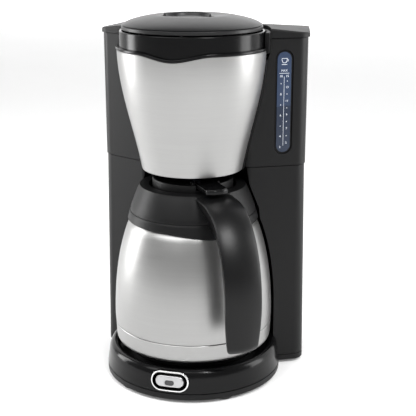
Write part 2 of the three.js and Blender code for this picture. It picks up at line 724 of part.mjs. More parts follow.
// ---- brew housing, panel, trim, band ----
function makeHousing() {
  const shellOut = grown(panelProfile, -panelThickness - gap);
  const shellIn = grown(panelProfile, -panelThickness - gap - wall);
  const top = bandFootZ - gap;
  const below = (profile) => profile.filter(([, z]) => z < top - 2);
  const floor = housingFootZ + wall;
  const cheeks = turned([[0, housingFootZ], ...below(grown(panelProfile, cheekProud)),
    [panelTopRadius, top], [0, top]]).intersect(rearHalf);
  const housing = turned([[0, housingFootZ], ...below(shellOut), [panelTopRadius - 2, top], [0, top]])
    .add(cheeks)
    .subtract(turned([[0, floor], ...below(shellIn).filter(([, z]) => z > floor),
      [panelTopRadius - 2 - wall, top + 1], [0, top + 1]]))
    .subtract(disc(20, 190, 210, 0, 0, 24));
  addPiece("brew_housing", housing, satinBlack);

  const inner = grown(panelProfile, -panelThickness).reverse();
  const sheet = ringOf([...panelProfile, ...inner]).intersect(frontHalf);
  addPiece("front_panel", sheet.subtract(aboveWave(0)), steel);

  const trimOut = panelTopRadius + trimProud;
  const strip = ringOf([
    [trimOut, panelTopZ - panelDip - 1],
    [trimOut, panelTopZ + trimHeight + 1],
    [bandRadius + gap, panelTopZ + trimHeight + 1],
    [bandRadius + gap, panelTopZ - panelDip - 1],
  ]).intersect(frontHalf).intersect(aboveWave(gap)).subtract(aboveWave(trimHeight));
  addPiece("panel_trim", strip, glossBlack);

  const notchHalf = tongueHalf + 2 * gap;
  const notch = block(-notchHalf, notchHalf, 20, 80, tongueBottomZ - gap, 340);
  const spoutHole = spoutPath(0.4, 0.88);
  const band = ringOf([
    [bandRadius, bandFootZ], [bandRadius, bandTopZ - 0.6], [bandRadius - 0.6, bandTopZ],
    [bandRadius - wall, bandTopZ], [bandRadius - wall, bandFootZ],
  ]);
  addPiece("collar_band", band.subtract(notch).subtract(spoutHole), glossBlack);

  const frame = ringOf([
    [frameRadius, panelTopZ - trimHeight + gap], [frameRadius, bandTopZ - 1.2],
    [bandRadius + 1, bandTopZ - 1.2], [bandRadius + 1, panelTopZ - trimHeight + gap],
  ]).intersect(rearHalf);
  addPiece("rear_frame", frame.subtract(notch).subtract(spoutHole), satinBlack);
}

// ---- filter basket and drip stop ----
function makeBasket(valveGroup) {
  const cone = [[basketFootRadius, basketFootZ], [basketFootRadius + 2, basketFootZ + 12],
    [basketRimRadius - 6, basketRimZ - 18]];
  const outside = turned([[0, basketFootZ], ...cone, [basketRimRadius - 4, basketRimZ - 4],
    [basketRimRadius, basketRimZ - 4], [basketRimRadius, basketRimZ], [0, basketRimZ]]);
  const inside = turned([[0, basketFloorTopZ], [basketFootRadius - basketWall, basketFloorTopZ],
    [basketFootRadius + 2 - basketWall, basketFootZ + 12],
    [basketRimRadius - 6 - basketWall, basketRimZ - 18],
    [basketRimRadius - 4 - basketWall, basketRimZ + 1], [0, basketRimZ + 1]]);
  const outlet = disc(outletRadius, 200, 210);
  const basket = outside.subtract(inside).subtract(outlet).subtract(spoutPath(0.4, 0.88, 8));
  addPiece("filter_basket", basket, innerPlastic);

  const headFoot = basketFloorTopZ + valveLift;
  const valve = turned([
    [0, valveFootZ], [valveFootRadius, valveFootZ], [valveFootRadius, valveFootZ + 2],
    [valveStemRadius, valveFootZ + 2], [valveStemRadius, headFoot], [valveHeadRadius, headFoot],
    [valveHeadRadius - 1, headFoot + 2.5], [0, headFoot + 2.5],
  ]);
  addPiece("drip_valve", valve, innerPlastic, valveGroup);
  const seal = ringOf([
    [valveHeadRadius, headFoot - gap - 1.2], [valveHeadRadius, headFoot - gap],
    [valveStemRadius + gap, headFoot - gap], [valveStemRadius + gap, headFoot - gap - 1.2],
  ], 24);
  addPiece("drip_seal", seal, silicone, valveGroup);
  addPiece("drip_spring", coilSpring(6.6, 0.6, valveFootZ + 2 + gap, basketFootZ - gap, 4), fixingSteel);
}

// ---- water path ----
function arcPoints(radius, from, to, count, z, y) {
  return Array.from({ length: count + 1 }, (_, i) => {
    const angle = THREE.MathUtils.degToRad(from + ((to - from) * i) / count);
    return [radius * Math.sin(angle), y - radius * Math.cos(angle), z];
  });
}

function makeWaterPath() {
  const heaterEnd = 128;
  const bend = arcPoints(heaterRadius, -heaterEnd, heaterEnd, 12, heaterZ, heaterY);
  addPiece("flow_heater", pipe(bend, heaterTube, heaterTube - 1.6, 16), aluminium);

  const [hotX, hotY] = bend[0];
  const [coldX, coldY] = bend[bend.length - 1];
  const away = 7;
  const hot = [
    [hotX + away * 0.2, hotY + away, heaterZ],
    [riserX, 46, heaterZ],
    [riserX, 70, heaterZ],
    [riserX, riserY - 4, heaterZ + 6],
    [riserX, riserY, heaterZ + 24],
    [riserX, riserY, columnTopZ - 24],
  ];
  addPiece("hot_hose", pipe(hot, hoseRadius, riserRadius, 14), silicone);
  const valveLow = 70;
  const valveHigh = 92;
  const cold = [
    [coldX - away * 0.2, coldY + away, heaterZ],
    [inletX, 46, heaterZ],
    [inletX, 70, heaterZ],
    [inletX, inletY - 4, heaterZ + 6],
    [inletX, inletY, heaterZ + 24],
    [inletX, inletY, valveLow - gap],
  ];
  addPiece("cold_hose", pipe(cold, hoseRadius, riserRadius, 14), silicone);
  const body = ringOf([
    [hoseRadius, valveLow], [hoseRadius + 2.5, valveLow + 5], [hoseRadius + 2.5, valveHigh - 5],
    [hoseRadius, valveHigh], [riserRadius - 1.5, valveHigh], [riserRadius - 1.5, valveLow],
  ], smallSteps, inletX, inletY);
  addPiece("check_valve", body, innerPlastic);
  const feed = [[inletX, inletY, valveHigh + gap], [inletX, inletY, 150], [inletX, inletY, columnTopZ + 8]];
  addPiece("inlet_pipe", pipe(feed, hoseRadius, riserRadius, 4), silicone);

  const riser = [
    [riserX, riserY, columnTopZ - 23],
    [riserX, riserY, 250],
    [riserX, riserY, riserElbowZ - 16],
    [0.95 * riserX, 0.95 * riserY, riserElbowZ - 4],
    ...[0.86, 0.7, 0.5, 0.19].map((share) => [share * riserX, share * riserY, riserElbowZ]),
  ];
  addPiece("riser_tube", pipe(riser, riserRadius, riserRadius - 1.2, 16), innerPlastic);
  const rose = disc(16, riserElbowZ - 5, riserElbowZ + 5, 0, 0, 24)
    .subtract(disc(14, riserElbowZ - 3.4, riserElbowZ + 6, 0, 0, 24));
  const holes = [0, 1, 2, 3, 4, 5].map((i) => disc(
    1.6, 300, riserElbowZ, 9 * Math.cos((i * Math.PI) / 3), 9 * Math.sin((i * Math.PI) / 3), 8,
  ));
  const head = holes.reduce((left, hole) => left.subtract(hole), rose).subtract(spoutPath(0.1, 0.3));
  addPiece("spray_head", head, innerPlastic);
  [[riserX, riserY, riserRadius, "riser_grommet"], [inletX, inletY, hoseRadius, "inlet_grommet"]]
    .forEach(([x, y, radius, name]) => {
      const foot = columnTopZ + gap;
      const grommet = ringOf([
        [radius + 1.4, foot], [radius + 1.4, foot + wall + gap], [radius + 3.4, foot + wall + gap],
        [radius + 2.6, foot + wall + 2], [radius + 0.35, foot + wall + 2], [radius + 0.35, foot],
      ], smallSteps, x, y);
      addPiece(name, grommet, rubber);
    });
}

// ---- electrics ----
function makeElectrics() {
  const clipTop = heaterZ - heaterTube - gap;
  const sensorY = heaterY - heaterRadius;
  const sensor = (x, radius) => disc(radius, plateTop - 2.6, clipTop, x, sensorY + x * x * 0.012, smallSteps);
  addPiece("thermostat", sensor(-16, 7), ceramicWhite);
  addPiece("thermal_fuse", sensor(16, 5), ceramicWhite);
  const strip = block(60, 84, 62, 74, plateTop, plateTop + 14)
    .subtract(block(63, 70, 60, 76, plateTop + 6, plateTop + 15))
    .subtract(block(74, 81, 60, 76, plateTop + 6, plateTop + 15));
  addPiece("terminal_block", strip, ceramicWhite);
}

// ---- jug ----
function makeJug(jugGroup) {
  const neckSkin = [[collarFootRadius - 3.4, collarFootZ - 6], [collarFootRadius - 4.4, collarFootZ - 1]];
  const lowSkin = [[jugHeelRadius + 0.6, jugSeamZ + gap], ...jugWallProfile.slice(0, -1)];
  const waist = [jugShoulderRadius - 0.2, jugShoulderZ - 1];
  const skin = [...lowSkin, waist, ...neckSkin];
  const skinIn = grown(skin, -jugWall).reverse();
  addPiece("jug_shell", ringOf([...skin, ...skinIn]), steel, jugGroup);

  const heel = bent([jugFootRadius, jugFootZ], [jugHeelRadius - 1.5, jugFootZ],
    [jugHeelRadius, jugFootZ + 3], [jugHeelRadius, jugHeelZ + 1], 4);
  const seam = [jugHeelRadius + 0.5, jugSeamZ];
  const capOut = [[jugFootRadius - 5, jugFootZ], ...heel, seam];
  const capIn = [[jugHeelRadius + 0.5 - jugWall, jugSeamZ], [jugHeelRadius - jugWall, jugHeelZ + 2],
    [jugFootRadius, jugFootZ + jugWall + 1], [jugFootRadius - 5, jugFootZ + 3.2]];
  const cup = turned([[0, jugFootZ + 2], ...capOut, ...capIn, [0, jugFootZ + 3.2]]);
  addPiece("jug_base_cap", cup, steel, jugGroup);

  const deep = linerClearance + jugWall;
  const bowl = jugWallProfile.filter(([, z]) => z < jugShoulderZ - 12).map(([r, z]) => [r - deep, z]);
  const linerFoot = jugFootZ + 10;
  const rim = collarTopZ - 6;
  const linerOut = [
    [0, linerFoot], [jugMaxRadius - deep - 12, linerFoot], [jugMaxRadius - deep, linerFoot + 10],
    ...bowl.slice(1), [neckRadius, jugShoulderZ + 2], [neckRadius, rim]];
  const linerIn = [[neckRadius - jugWall, rim], [neckRadius - jugWall, jugShoulderZ + 1.4],
    ...grown(bowl.slice(1), -jugWall).reverse(), [jugMaxRadius - deep - jugWall, linerFoot + 10.6],
    [jugMaxRadius - deep - 12.6, linerFoot + jugWall], [0, linerFoot + jugWall]];
  addPiece("jug_liner", turned([...linerOut, ...linerIn]), linerSteel, jugGroup);

  const collar = ringOf([
    [collarFootRadius, collarFootZ], [collarTopRadius + 0.6, collarTopZ - 1.2],
    [collarTopRadius - 0.6, collarTopZ], [collarMouthRadius, collarTopZ],
    [collarMouthRadius, collarTopZ - 5], [neckRadius + gap, collarTopZ - 7],
    [neckRadius + gap, collarFootZ], [neckRadius + 3, collarFootZ], [neckRadius + 5, collarTopZ - 9],
    [collarTopRadius - 2, collarTopZ - 5], [collarFootRadius - 3, collarFootZ],
  ]);
  addPiece("jug_collar", collar, satinBlack, jugGroup);
  addPiece("jug_band", makeJugBand(), satinBlack, jugGroup);
  makeHandle(jugGroup);
}

// The band below the collar, with a tongue that hangs down under the handle.
function makeJugBand() {
  const ring = ringOf([
    [jugShoulderRadius + 2, bandTongueZ], [jugShoulderRadius + 1, bandEdgeZ],
    [collarFootRadius + 0.2, collarFootZ - gap], [collarFootRadius - 3, collarFootZ - gap],
    [jugShoulderRadius + 0.2, jugShoulderZ - 1], [jugShoulderRadius + 1.2, bandTongueZ],
  ]);
  const half = 46;
  const shape = new THREE.Shape();
  shape.moveTo(-half, bandEdgeZ + 2);
  shape.lineTo(-half, bandEdgeZ);
  shape.bezierCurveTo(-half / 2, bandEdgeZ, -half / 2, bandTongueZ, 0, bandTongueZ);
  shape.bezierCurveTo(half / 2, bandTongueZ, half / 2, bandEdgeZ, half, bandEdgeZ);
  shape.lineTo(half, bandEdgeZ + 2);
  const tongue = solidOf(prism(shape, 10, 90).rotateX(Math.PI / 2).rotateZ(handleAzimuth));
  return ring.intersect(tongue).add(ring.intersect(block(-90, 90, -90, 90, bandEdgeZ, collarTopZ)));
}

// Side view of the handle in [radius, height]: out from the collar, round the bend and down to a free end.
function handleShape() {
  const { x: bendR, y: bendZ } = handleBend;
  const out = handleReach - bendR;
  const inner = out - handleThickness;
  const rise = handleTopZ - bendZ;
  const arch = handleArchZ - bendZ;
  const shape = new THREE.Shape();
  shape.moveTo(40, handleTopZ);
  shape.lineTo(bendR, handleTopZ);
  shape.absellipse(bendR, bendZ, out, rise, Math.PI / 2, 0, true);
  shape.lineTo(handleReach - 1, handleFootZ + handleThickness / 2);
  shape.absellipse(
    handleReach - 1 - handleThickness / 2, handleFootZ + handleThickness / 2,
    handleThickness / 2, handleThickness / 2, 0, -Math.PI, true,
  );
  shape.lineTo(handleReach - handleThickness, bendZ);
  shape.absellipse(bendR, bendZ, inner, arch, 0, Math.PI / 2, false);
  shape.lineTo(40, handleArchZ);
  return shape;
}

function makeHandle(jugGroup) {
  const depth = handleTopWidth - 2 * handleBevel;
  const strap = new THREE.ExtrudeGeometry(handleShape(), {
    depth,
    bevelSize: handleBevel,
    bevelOffset: -handleBevel,
    bevelThickness: handleBevel,
    bevelSegments: 1,
    curveSegments: 8,
  });
  strap.translate(0, 0, -depth / 2);
  const at = strap.attributes.position;
  for (let i = 0; i < at.count; i += 1) {
    const share = THREE.MathUtils.clamp((at.getY(i) - handleFootZ) / (handleArchZ - handleFootZ), 0, 1);
    at.setZ(i, (at.getZ(i) * THREE.MathUtils.lerp(handleFootWidth, handleTopWidth, share)) / handleTopWidth);
  }
  strap.rotateX(Math.PI / 2).rotateZ(handleAzimuth - Math.PI / 2);
  const collarSkin = [
    [0, 0], [jugMaxRadius, 0],
    [jugShoulderRadius + 1 + gap, bandEdgeZ - 6], [jugShoulderRadius + 1 + gap, bandEdgeZ],
    [collarFootRadius + gap * 2, collarFootZ], [collarTopRadius + 0.6 + gap, collarTopZ - 1.2],
    [collarTopRadius + gap, collarTopZ + 10], [0, collarTopZ + 10],
  ];
  const screwZ = 172;
  const axisAt = (geometry) => solidOf(geometry.rotateZ(handleAzimuth));
  const bore = axisAt(new THREE.CylinderGeometry(2.2, 2.2, 30, 12).translate(0, -66, screwZ));
  const handle = solidOf(strap).subtract(turned(collarSkin)).subtract(bore);
  addPiece("jug_handle", handle, handleBlack, jugGroup);
  const screw = axisAt(new THREE.CylinderGeometry(1.8, 1.8, 18, 8).translate(0, -66, screwZ));
  addPiece("handle_screw", screw, fixingSteel, jugGroup);
}

// ---- jug lid ----
// A block given by its distances across, outwards from the axis and upwards, turned to the handle's azimuth.
function towardsHandle(x0, x1, r0, r1, z0, z1) {
  const box = new THREE.BoxGeometry(x1 - x0, r1 - r0, z1 - z0);
  return solidOf(box.translate((x0 + x1) / 2, -(r0 + r1) / 2, (z0 + z1) / 2).rotateZ(handleAzimuth));
}

function pinAcross(radius, half, r, z) {
  const rod = new THREE.CylinderGeometry(radius, radius, 2 * half, 12).rotateZ(Math.PI / 2);
  return solidOf(rod.translate(0, -r, z).rotateZ(handleAzimuth));
}

function makeJugLid(lidGroup, leverGroup, valveGroup) {
  const pivotZ = (leverBottomZ + leverTopZ) / 2;
  const half = leverWidth / 2;
  const outside = turned([
    [0, jugLidFootZ], [jugLidSkirtRadius, jugLidFootZ], [jugLidSkirtRadius, collarTopZ - 5.6],
    [jugLidRadius, collarTopZ - 4], [jugLidRadius, jugLidTopZ - 1], [jugLidRadius - 1, jugLidTopZ],
    [jugLidRadius - 2.5, jugLidTopZ], [jugLidRadius - 4.5, jugLidDishZ],
    [8, jugLidDishZ - 2], [0, jugLidDishZ - 2],
  ]);
  const inside = turned([[0, jugLidFootZ - 1], [jugLidSkirtRadius - 2, jugLidFootZ - 1],
    [jugLidSkirtRadius - 2, collarTopZ - 4], [0, collarTopZ - 4]]);
  const slot = towardsHandle(-half - gap, half + gap, leverInner - 3, 80, leverBottomZ - 2.2, 200);
  let lid = outside.subtract(inside).subtract(slot).subtract(disc(6, 150, 200, 0, 0, smallSteps));
  for (const side of [-1, 1]) {
    const near = side * (half + gap);
    const far = side * (half + gap + 2.4);
    const ear = towardsHandle(
      Math.min(near, far),
      Math.max(near, far),
      leverPivotRadius - 3,
      leverPivotRadius + 3,
      jugLidDishZ - 2.5,
      pivotZ + 2.4,
    );
    lid = lid.add(ear);
  }
  lid = lid.subtract(pinAcross(leverPinRadius + gap, half + 5, leverPivotRadius, pivotZ));
  addPiece("jug_lid", lid, satinBlack, lidGroup);
  const gasket = ringOf([
    [jugLidSkirtRadius + 2.6, jugLidFootZ + 3], [jugLidSkirtRadius + 2.6, jugLidFootZ + 6],
    [jugLidSkirtRadius + gap, jugLidFootZ + 7], [jugLidSkirtRadius + gap, jugLidFootZ + 2],
  ], 24);
  addPiece("lid_gasket", gasket, silicone, lidGroup);
  const pin = pinAcross(leverPinRadius, half + 2.2, leverPivotRadius, pivotZ);
  addPiece("lever_pin", pin, fixingSteel, lidGroup);

  const lever = towardsHandle(-half, half, leverInner, leverReach, leverBottomZ, leverTopZ)
    .subtract(pinAcross(leverPinRadius + gap, half + 1, leverPivotRadius, pivotZ));
  addPiece("thumb_lever", lever, glossBlack, leverGroup);

  const stemTop = collarTopZ - 1;
  const valve = turned([
    [0, pourValveTopZ - 4], [pourValveRadius - 2, pourValveTopZ - 4], [pourValveRadius, pourValveTopZ - 2],
    [pourValveRadius, pourValveTopZ], [2.5, pourValveTopZ], [2.5, stemTop], [0, stemTop],
  ], 24);
  addPiece("pour_valve", valve, innerPlastic, valveGroup);
  const spring = coilSpring(8, 0.6, pourValveTopZ + gap, collarTopZ - 4 - gap, 4);
  addPiece("valve_spring", spring, fixingSteel, lidGroup);
}

// ---- put together ----
const lidAssembly = new THREE.Group();
const buttonAssembly = new THREE.Group();
const dripStop = new THREE.Group();
const jug = new THREE.Group();
const jugLid = new THREE.Group();
const lever = new THREE.Group();
const pourValve = new THREE.Group();
jugLid.add(lever, pourValve);
jug.add(jugLid);
coffeeMaker.add(lidAssembly, buttonAssembly, dripStop, jug);

makeBottomPlate();
makeBase();
makeSwitch(buttonAssembly);
makeColumn();
makeTank();
makeCap();
makeLid(lidAssembly);
makeHousing();
makeBasket(dripStop);
makeWaterPath();
makeElectrics();
makeJug(jug);
makeJugLid(jugLid, lever, pourValve);

// The origin is the centre of the footprint, on the table.
const bounds = new THREE.Box3().setFromObject(coffeeMaker);
const middle = bounds.getCenter(new THREE.Vector3());
coffeeMaker.position.set(-middle.x, -middle.y, -bounds.min.z);

export default coffeeMaker;
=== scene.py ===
import json
import math

import bmesh
import bpy
from bpy.props import FloatProperty, FloatVectorProperty, PointerProperty
from mathutils import Matrix, Vector


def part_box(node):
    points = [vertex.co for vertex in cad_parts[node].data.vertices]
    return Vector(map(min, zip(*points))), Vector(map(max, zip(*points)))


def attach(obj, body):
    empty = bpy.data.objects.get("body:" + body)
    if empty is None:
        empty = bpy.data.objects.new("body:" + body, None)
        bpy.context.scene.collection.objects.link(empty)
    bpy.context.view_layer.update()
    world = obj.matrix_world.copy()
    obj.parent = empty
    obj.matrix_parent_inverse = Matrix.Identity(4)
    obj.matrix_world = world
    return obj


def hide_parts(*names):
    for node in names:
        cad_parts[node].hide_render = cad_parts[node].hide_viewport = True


bl_info = {
    "name": "Drip coffee maker",
    "version": (1, 0, 0),
    "blender": (4, 5, 0),
    "location": "3D View > Sidebar > Coffee maker",
    "description": "Builds the visible pieces of a drip coffee maker with a thermal jug",
    "category": "Add Mesh",
}

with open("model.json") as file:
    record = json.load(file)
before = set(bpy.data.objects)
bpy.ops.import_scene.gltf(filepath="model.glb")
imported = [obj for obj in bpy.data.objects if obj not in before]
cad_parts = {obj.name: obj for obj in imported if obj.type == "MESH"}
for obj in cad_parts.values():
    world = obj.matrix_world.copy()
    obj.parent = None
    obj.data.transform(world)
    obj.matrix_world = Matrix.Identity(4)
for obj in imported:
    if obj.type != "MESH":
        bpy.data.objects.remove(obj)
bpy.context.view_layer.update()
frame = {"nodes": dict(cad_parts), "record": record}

# ---- measures, in millimetres, with the jug's upright axis at X = Y = 0 ----
MM = 0.001
TURN = 2 * math.pi
ROUND = 112  # facets round a large circle
SMALL = 32  # facets round a small one
GAP = 0.4  # between pieces that meet
WALL = 2.4  # of the moulded pieces
SAME_POINT = 1e-4  # points nearer than this are one


def limits(node):
    """Lowest and highest corner of a CAD node, in millimetres from the jug's axis."""
    low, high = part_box(node)
    return low / MM - Vector((0, AXIS_Y, 0)), high / MM - Vector((0, AXIS_Y, 0))


JUG_LOW, JUG_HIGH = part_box("jug_shell")
AXIS_Y = (JUG_LOW.y + JUG_HIGH.y) / 2 / MM

PLATE_TOP = limits("bottom_plate")[1].z
COLUMN_TOP = limits("column_shell")[1].z
TANK_LOW, TANK_HIGH = limits("water_tank")
PANEL_LOW, PANEL_HIGH = limits("front_panel")
BAND_LOW, BAND_HIGH = limits("collar_band")
LID_HIGH = limits("lid")[1]
REST_HIGH = limits("jug_rest_plate")[1]


class CoffeeMakerSizes(bpy.types.PropertyGroup):
    """Sizes that the pieces are built from."""

    base_radius: FloatProperty(
        name="Base radius", description="Radius of the round base at its foot",
        default=82.9 * MM, unit="LENGTH")
    base_height: FloatProperty(
        name="Base crest", description="Height of the base's rounded crest",
        default=30.5 * MM, unit="LENGTH")
    column_half_width: FloatProperty(
        name="Tank half width", description="Half the width of the water tank",
        default=TANK_HIGH.x * MM, unit="LENGTH")
    panel_foot_radius: FloatProperty(
        name="Panel foot radius", description="Radius of the steel panel's lower edge",
        default=46.7 * MM, unit="LENGTH")
    panel_top_radius: FloatProperty(
        name="Panel top radius", description="Radius of the steel panel's upper edge",
        default=PANEL_HIGH.x * MM, unit="LENGTH")
    panel_dip: FloatProperty(
        name="Panel dip", description="How far the panel's upper edge dips at the front",
        default=4.9 * MM, unit="LENGTH")
    lid_radius: FloatProperty(
        name="Lid radius", description="Radius of the brew lid's rim",
        default=63 * MM, unit="LENGTH")
    lid_height: FloatProperty(
        name="Lid top", description="Height of the top of the brew lid's dome",
        default=LID_HIGH.z * MM, unit="LENGTH")
    jug_radius: FloatProperty(
        name="Jug radius", description="Largest radius of the jug",
        default=(JUG_HIGH.x - JUG_LOW.x) / 2, unit="LENGTH")
    jug_shoulder_radius: FloatProperty(
        name="Jug shoulder radius", description="Radius of the jug below its band",
        default=59.8 * MM, unit="LENGTH")
    handle_reach: FloatProperty(
        name="Handle reach", description="Distance of the handle's outside from the jug's axis",
        default=116 * MM, unit="LENGTH")
    handle_azimuth: FloatProperty(
        name="Handle azimuth", description="Where the handle points, from the front to the right",
        default=math.radians(36), subtype="ANGLE")
    window_width: FloatProperty(
        name="Window width", description="Width of the level window",
        default=13.2 * MM, unit="LENGTH")


def colour_property(name, description, default):
    return FloatVectorProperty(
        name=name, description=description, default=default, subtype="COLOR", min=0, max=1)


class CoffeeMakerColours(bpy.types.PropertyGroup):
    """Colours of the finishes."""

    satin_black: colour_property(
        "Satin black", "Column, tank, cap and jug collar", (0.0042, 0.0042, 0.0044))
    gloss_black: colour_property("Gloss black", "Base, band and trim", (0.0024, 0.0024, 0.0026))
    lid_black: colour_property("Lid black", "Brew lid", (0.0085, 0.0085, 0.009))
    handle_black: colour_property("Handle black", "Jug handle", (0.0036, 0.0036, 0.0038))
    inner_plastic: colour_property(
        "Inner plastic", "Filter basket and other inner pieces", (0.018, 0.018, 0.019))
    brushed_steel: colour_property("Brushed steel", "Front panel and jug", (0.36, 0.359, 0.355))
    bezel_metal: colour_property("Bezel metal", "Ring round the switch", (0.74, 0.74, 0.74))
    button_metal: colour_property("Button metal", "Switch button", (0.5, 0.5, 0.505))
    window_blue: colour_property("Window blue", "Level window", (0.02, 0.032, 0.062))
    print_white: colour_property(
        "Print white", "Scale printed on the level window", (0.72, 0.76, 0.82))


def sizes():
    return bpy.context.scene.coffee_maker_sizes


def colours():
    return bpy.context.scene.coffee_maker_colours


def size(name):
    """A size in millimetres."""
    return getattr(sizes(), name) / MM


def put_in_scene(name, data):
    """A new object for a mesh, curve, light or camera."""
    made = bpy.data.objects.new(name, data)
    bpy.context.scene.collection.objects.link(made)
    return made


# ---- curves and outlines ----
def bent(start, first, second, end, steps):
    """Points along a cubic curve, given its ends and its two handles."""
    points = []
    for k in range(steps + 1):
        t = k / steps
        s = 1 - t
        weights = (s ** 3, 3 * s * s * t, 3 * s * t * t, t ** 3)
        points.append(tuple(
            sum(w * p[axis] for w, p in zip(weights, (start, first, second, end))) for axis in (0, 1)))
    return points


def eased(corners, steps=4, closed=False):
    """Corners of (x, y) or (x, y, radius), the latter rounded by an arc."""
    points = []
    for i, corner in enumerate(corners):
        here = Vector(corner[:2])
        inside = closed or 0 < i < len(corners) - 1
        if len(corner) < 3 or not corner[2] or not inside:
            points.append(tuple(here))
            continue
        back = (Vector(corners[i - 1][:2]) - here).normalized()
        ahead = (Vector(corners[(i + 1) % len(corners)][:2]) - here).normalized()
        half = back.angle(ahead) / 2
        reach = corner[2] / math.tan(half)
        centre = here + (back + ahead).normalized() * (corner[2] / math.sin(half))
        first = here + back * reach - centre
        turn = first.angle_signed(here + ahead * reach - centre)
        for k in range(steps + 1):
            spoke = first.copy()
            spoke.rotate(Matrix.Rotation(-turn * k / steps, 2))
            points.append(tuple(centre + spoke))
    return points


def stadium(width, height, steps=10):
    """A slot's outline, with round ends."""
    x, y = width / 2, height / 2
    radius = min(x, y) * 0.999
    return eased([(-x, -y, radius), (x, -y, radius), (x, y, radius), (-x, y, radius)], steps, True)


def grown(profile, by):
    """A profile of (radius, height) with each radius made larger."""
    return [(r + by, z) for r, z in profile]


def swell(u):
    """From 0 to 1, level at both ends."""
    u = min(max(u, 0), 1)
    return u * u * (3 - 2 * u)


def at_height(profile, z):
    """Radius of a profile that rises, at a height."""
    for (r0, z0), (r1, z1) in zip(profile, profile[1:]):
        if z <= z1:
            break
    return r0 + (r1 - r0) * (z - z0) / (z1 - z0)


# ---- forms ----
class Form:
    """A closed mesh in millimetres that can be joined (+), cut (-) and met (&)."""

    def __init__(self, bm=None, mesh=None):
        if bm is not None:
            mesh = bpy.data.meshes.new("form")
            bmesh.ops.remove_doubles(bm, verts=bm.verts, dist=SAME_POINT)
            bmesh.ops.recalc_face_normals(bm, faces=bm.faces)
            bm.to_mesh(mesh)
            bm.free()
        self.mesh = mesh

    def _combine(self, other, operation):
        pair = [put_in_scene("form", form.mesh) for form in (self, other)]
        boolean = pair[0].modifiers.new("boolean", "BOOLEAN")
        boolean.operation, boolean.object, boolean.solver = operation, pair[1], "EXACT"
        depsgraph = bpy.context.evaluated_depsgraph_get()
        made = bpy.data.meshes.new_from_object(pair[0].evaluated_get(depsgraph))
        for one in pair:
            bpy.data.objects.remove(one)
        if not made.polygons:
            raise RuntimeError("nothing is left of a form after " + operation)
        return Form(mesh=made)

    def __add__(self, other):
        return self._combine(other, "UNION")

    def __sub__(self, other):
        return self._combine(other, "DIFFERENCE")

    def __and__(self, other):
        return self._combine(other, "INTERSECT")

    def moved(self, matrix):
        self.mesh.transform(matrix)
        if matrix.is_negative:
            self.mesh.flip_normals()
        return self

    def shaped(self, change):
        """Moves each point to where change(point) says."""
        for vertex in self.mesh.vertices:
            vertex.co = change(vertex.co)
        return self


def turned(profile, steps=ROUND, centre=(0, 0), arc=TURN, begin=0.0):
    """A profile of (radius, height) turned about an upright axis."""
    bm = bmesh.new()
    spoke = Vector((math.cos(begin), math.sin(begin), 0))
    verts = [bm.verts.new(spoke * r + Vector((0, 0, z))) for r, z in profile]
    edges = [bm.edges.new(pair) for pair in zip(verts, verts[1:])]
    bmesh.ops.spin(
        bm, geom=verts + edges, cent=(0, 0, 0), axis=(0, 0, 1), angle=arc, steps=steps,
        use_merge=arc == TURN)
    bmesh.ops.remove_doubles(bm, verts=bm.verts, dist=SAME_POINT)
    if arc != TURN:
        bmesh.ops.holes_fill(bm, edges=bm.edges, sides=0)
    bmesh.ops.translate(bm, verts=bm.verts, vec=(*centre, 0))
    return Form(bm)


def ring(profile, **options):
    """A closed loop of (radius, height) turned about an upright axis."""
    return turned([*profile, profile[0]], **options)


def disc(radius, low, high, x=0, y=0, steps=SMALL, edge=0.0):
    """An upright round bar."""
    profile = eased([(0, low), (radius, low, edge), (radius, high, edge), (0, high)], 3)
    return turned(profile, steps, (x, y))


def raised(outline, low, high):
    """An outline extruded upwards: the mesh and its upper points."""
    bm = bmesh.new()
    face = bm.faces.new([bm.verts.new((x, y, low)) for x, y in outline])
    made = bmesh.ops.extrude_face_region(bm, geom=[face])
    top = [v for v in made["geom"] if isinstance(v, bmesh.types.BMVert)]
    bmesh.ops.translate(bm, verts=top, vec=(0, 0, high - low))
    return bm, top


def rounded(bm, edges, width, segments):
    """Rounds edges of a mesh."""
    bmesh.ops.bevel(
        bm, geom=edges, offset=width, segments=segments, profile=0.5, affect="EDGES", material=-1,
        offset_type="OFFSET")


def rim_at(bm, z):
    """The edges that lie at a height."""
    return [e for e in bm.edges if all(abs(v.co.z - z) < SAME_POINT for v in e.verts)]


def prism(outline, low, high, top_edge=0.0, foot_edge=0.0, flare=None):
    """An outline extruded upwards, with rounded upper and lower edges."""
    bm, top = raised(outline, low, high)
    if flare:
        bmesh.ops.scale(bm, verts=top, vec=(*flare, 1))
    for z, edge in ((high, top_edge), (low, foot_edge)):
        if edge:
            rounded(bm, rim_at(bm, z), edge, 3)
    return Form(bm)


def block(x0, x1, y0, y1, z0, z1, edge=0.0):
    """A box, with its upright and upper edges rounded by edge."""
    corners = [(x0, y0, edge), (x1, y0, edge), (x1, y1, edge), (x0, y1, edge)]
    return prism(eased(corners, 4, True), z0, z1, 0.6 * edge)


def rod(radius, start, end, steps=SMALL):
    """A round bar between two points, with slightly rounded ends."""
    start, end = Vector(start), Vector(end)
    length = (end - start).length
    form = disc(radius, 0, length, steps=steps, edge=min(0.3, radius / 4))
    turn = (end - start).to_track_quat("Z", "Y").to_matrix().to_4x4()
    return form.moved(Matrix.Translation(start) @ turn)


def skin(rows):
    """A surface through rows of points, each row a loop; made from a grid, then closed."""
    bm = bmesh.new()
    count = len(rows[0])
    bmesh.ops.create_grid(bm, x_segments=count, y_segments=len(rows) - 1, size=1)
    bm.verts.ensure_lookup_table()
    for i, row in enumerate(rows):
        for k in range(count + 1):
            bm.verts[i * (count + 1) + k].co = row[k % count]
    bmesh.ops.remove_doubles(bm, verts=bm.verts, dist=SAME_POINT)
    bmesh.ops.holes_fill(bm, edges=bm.edges, sides=0)
    return Form(bm)


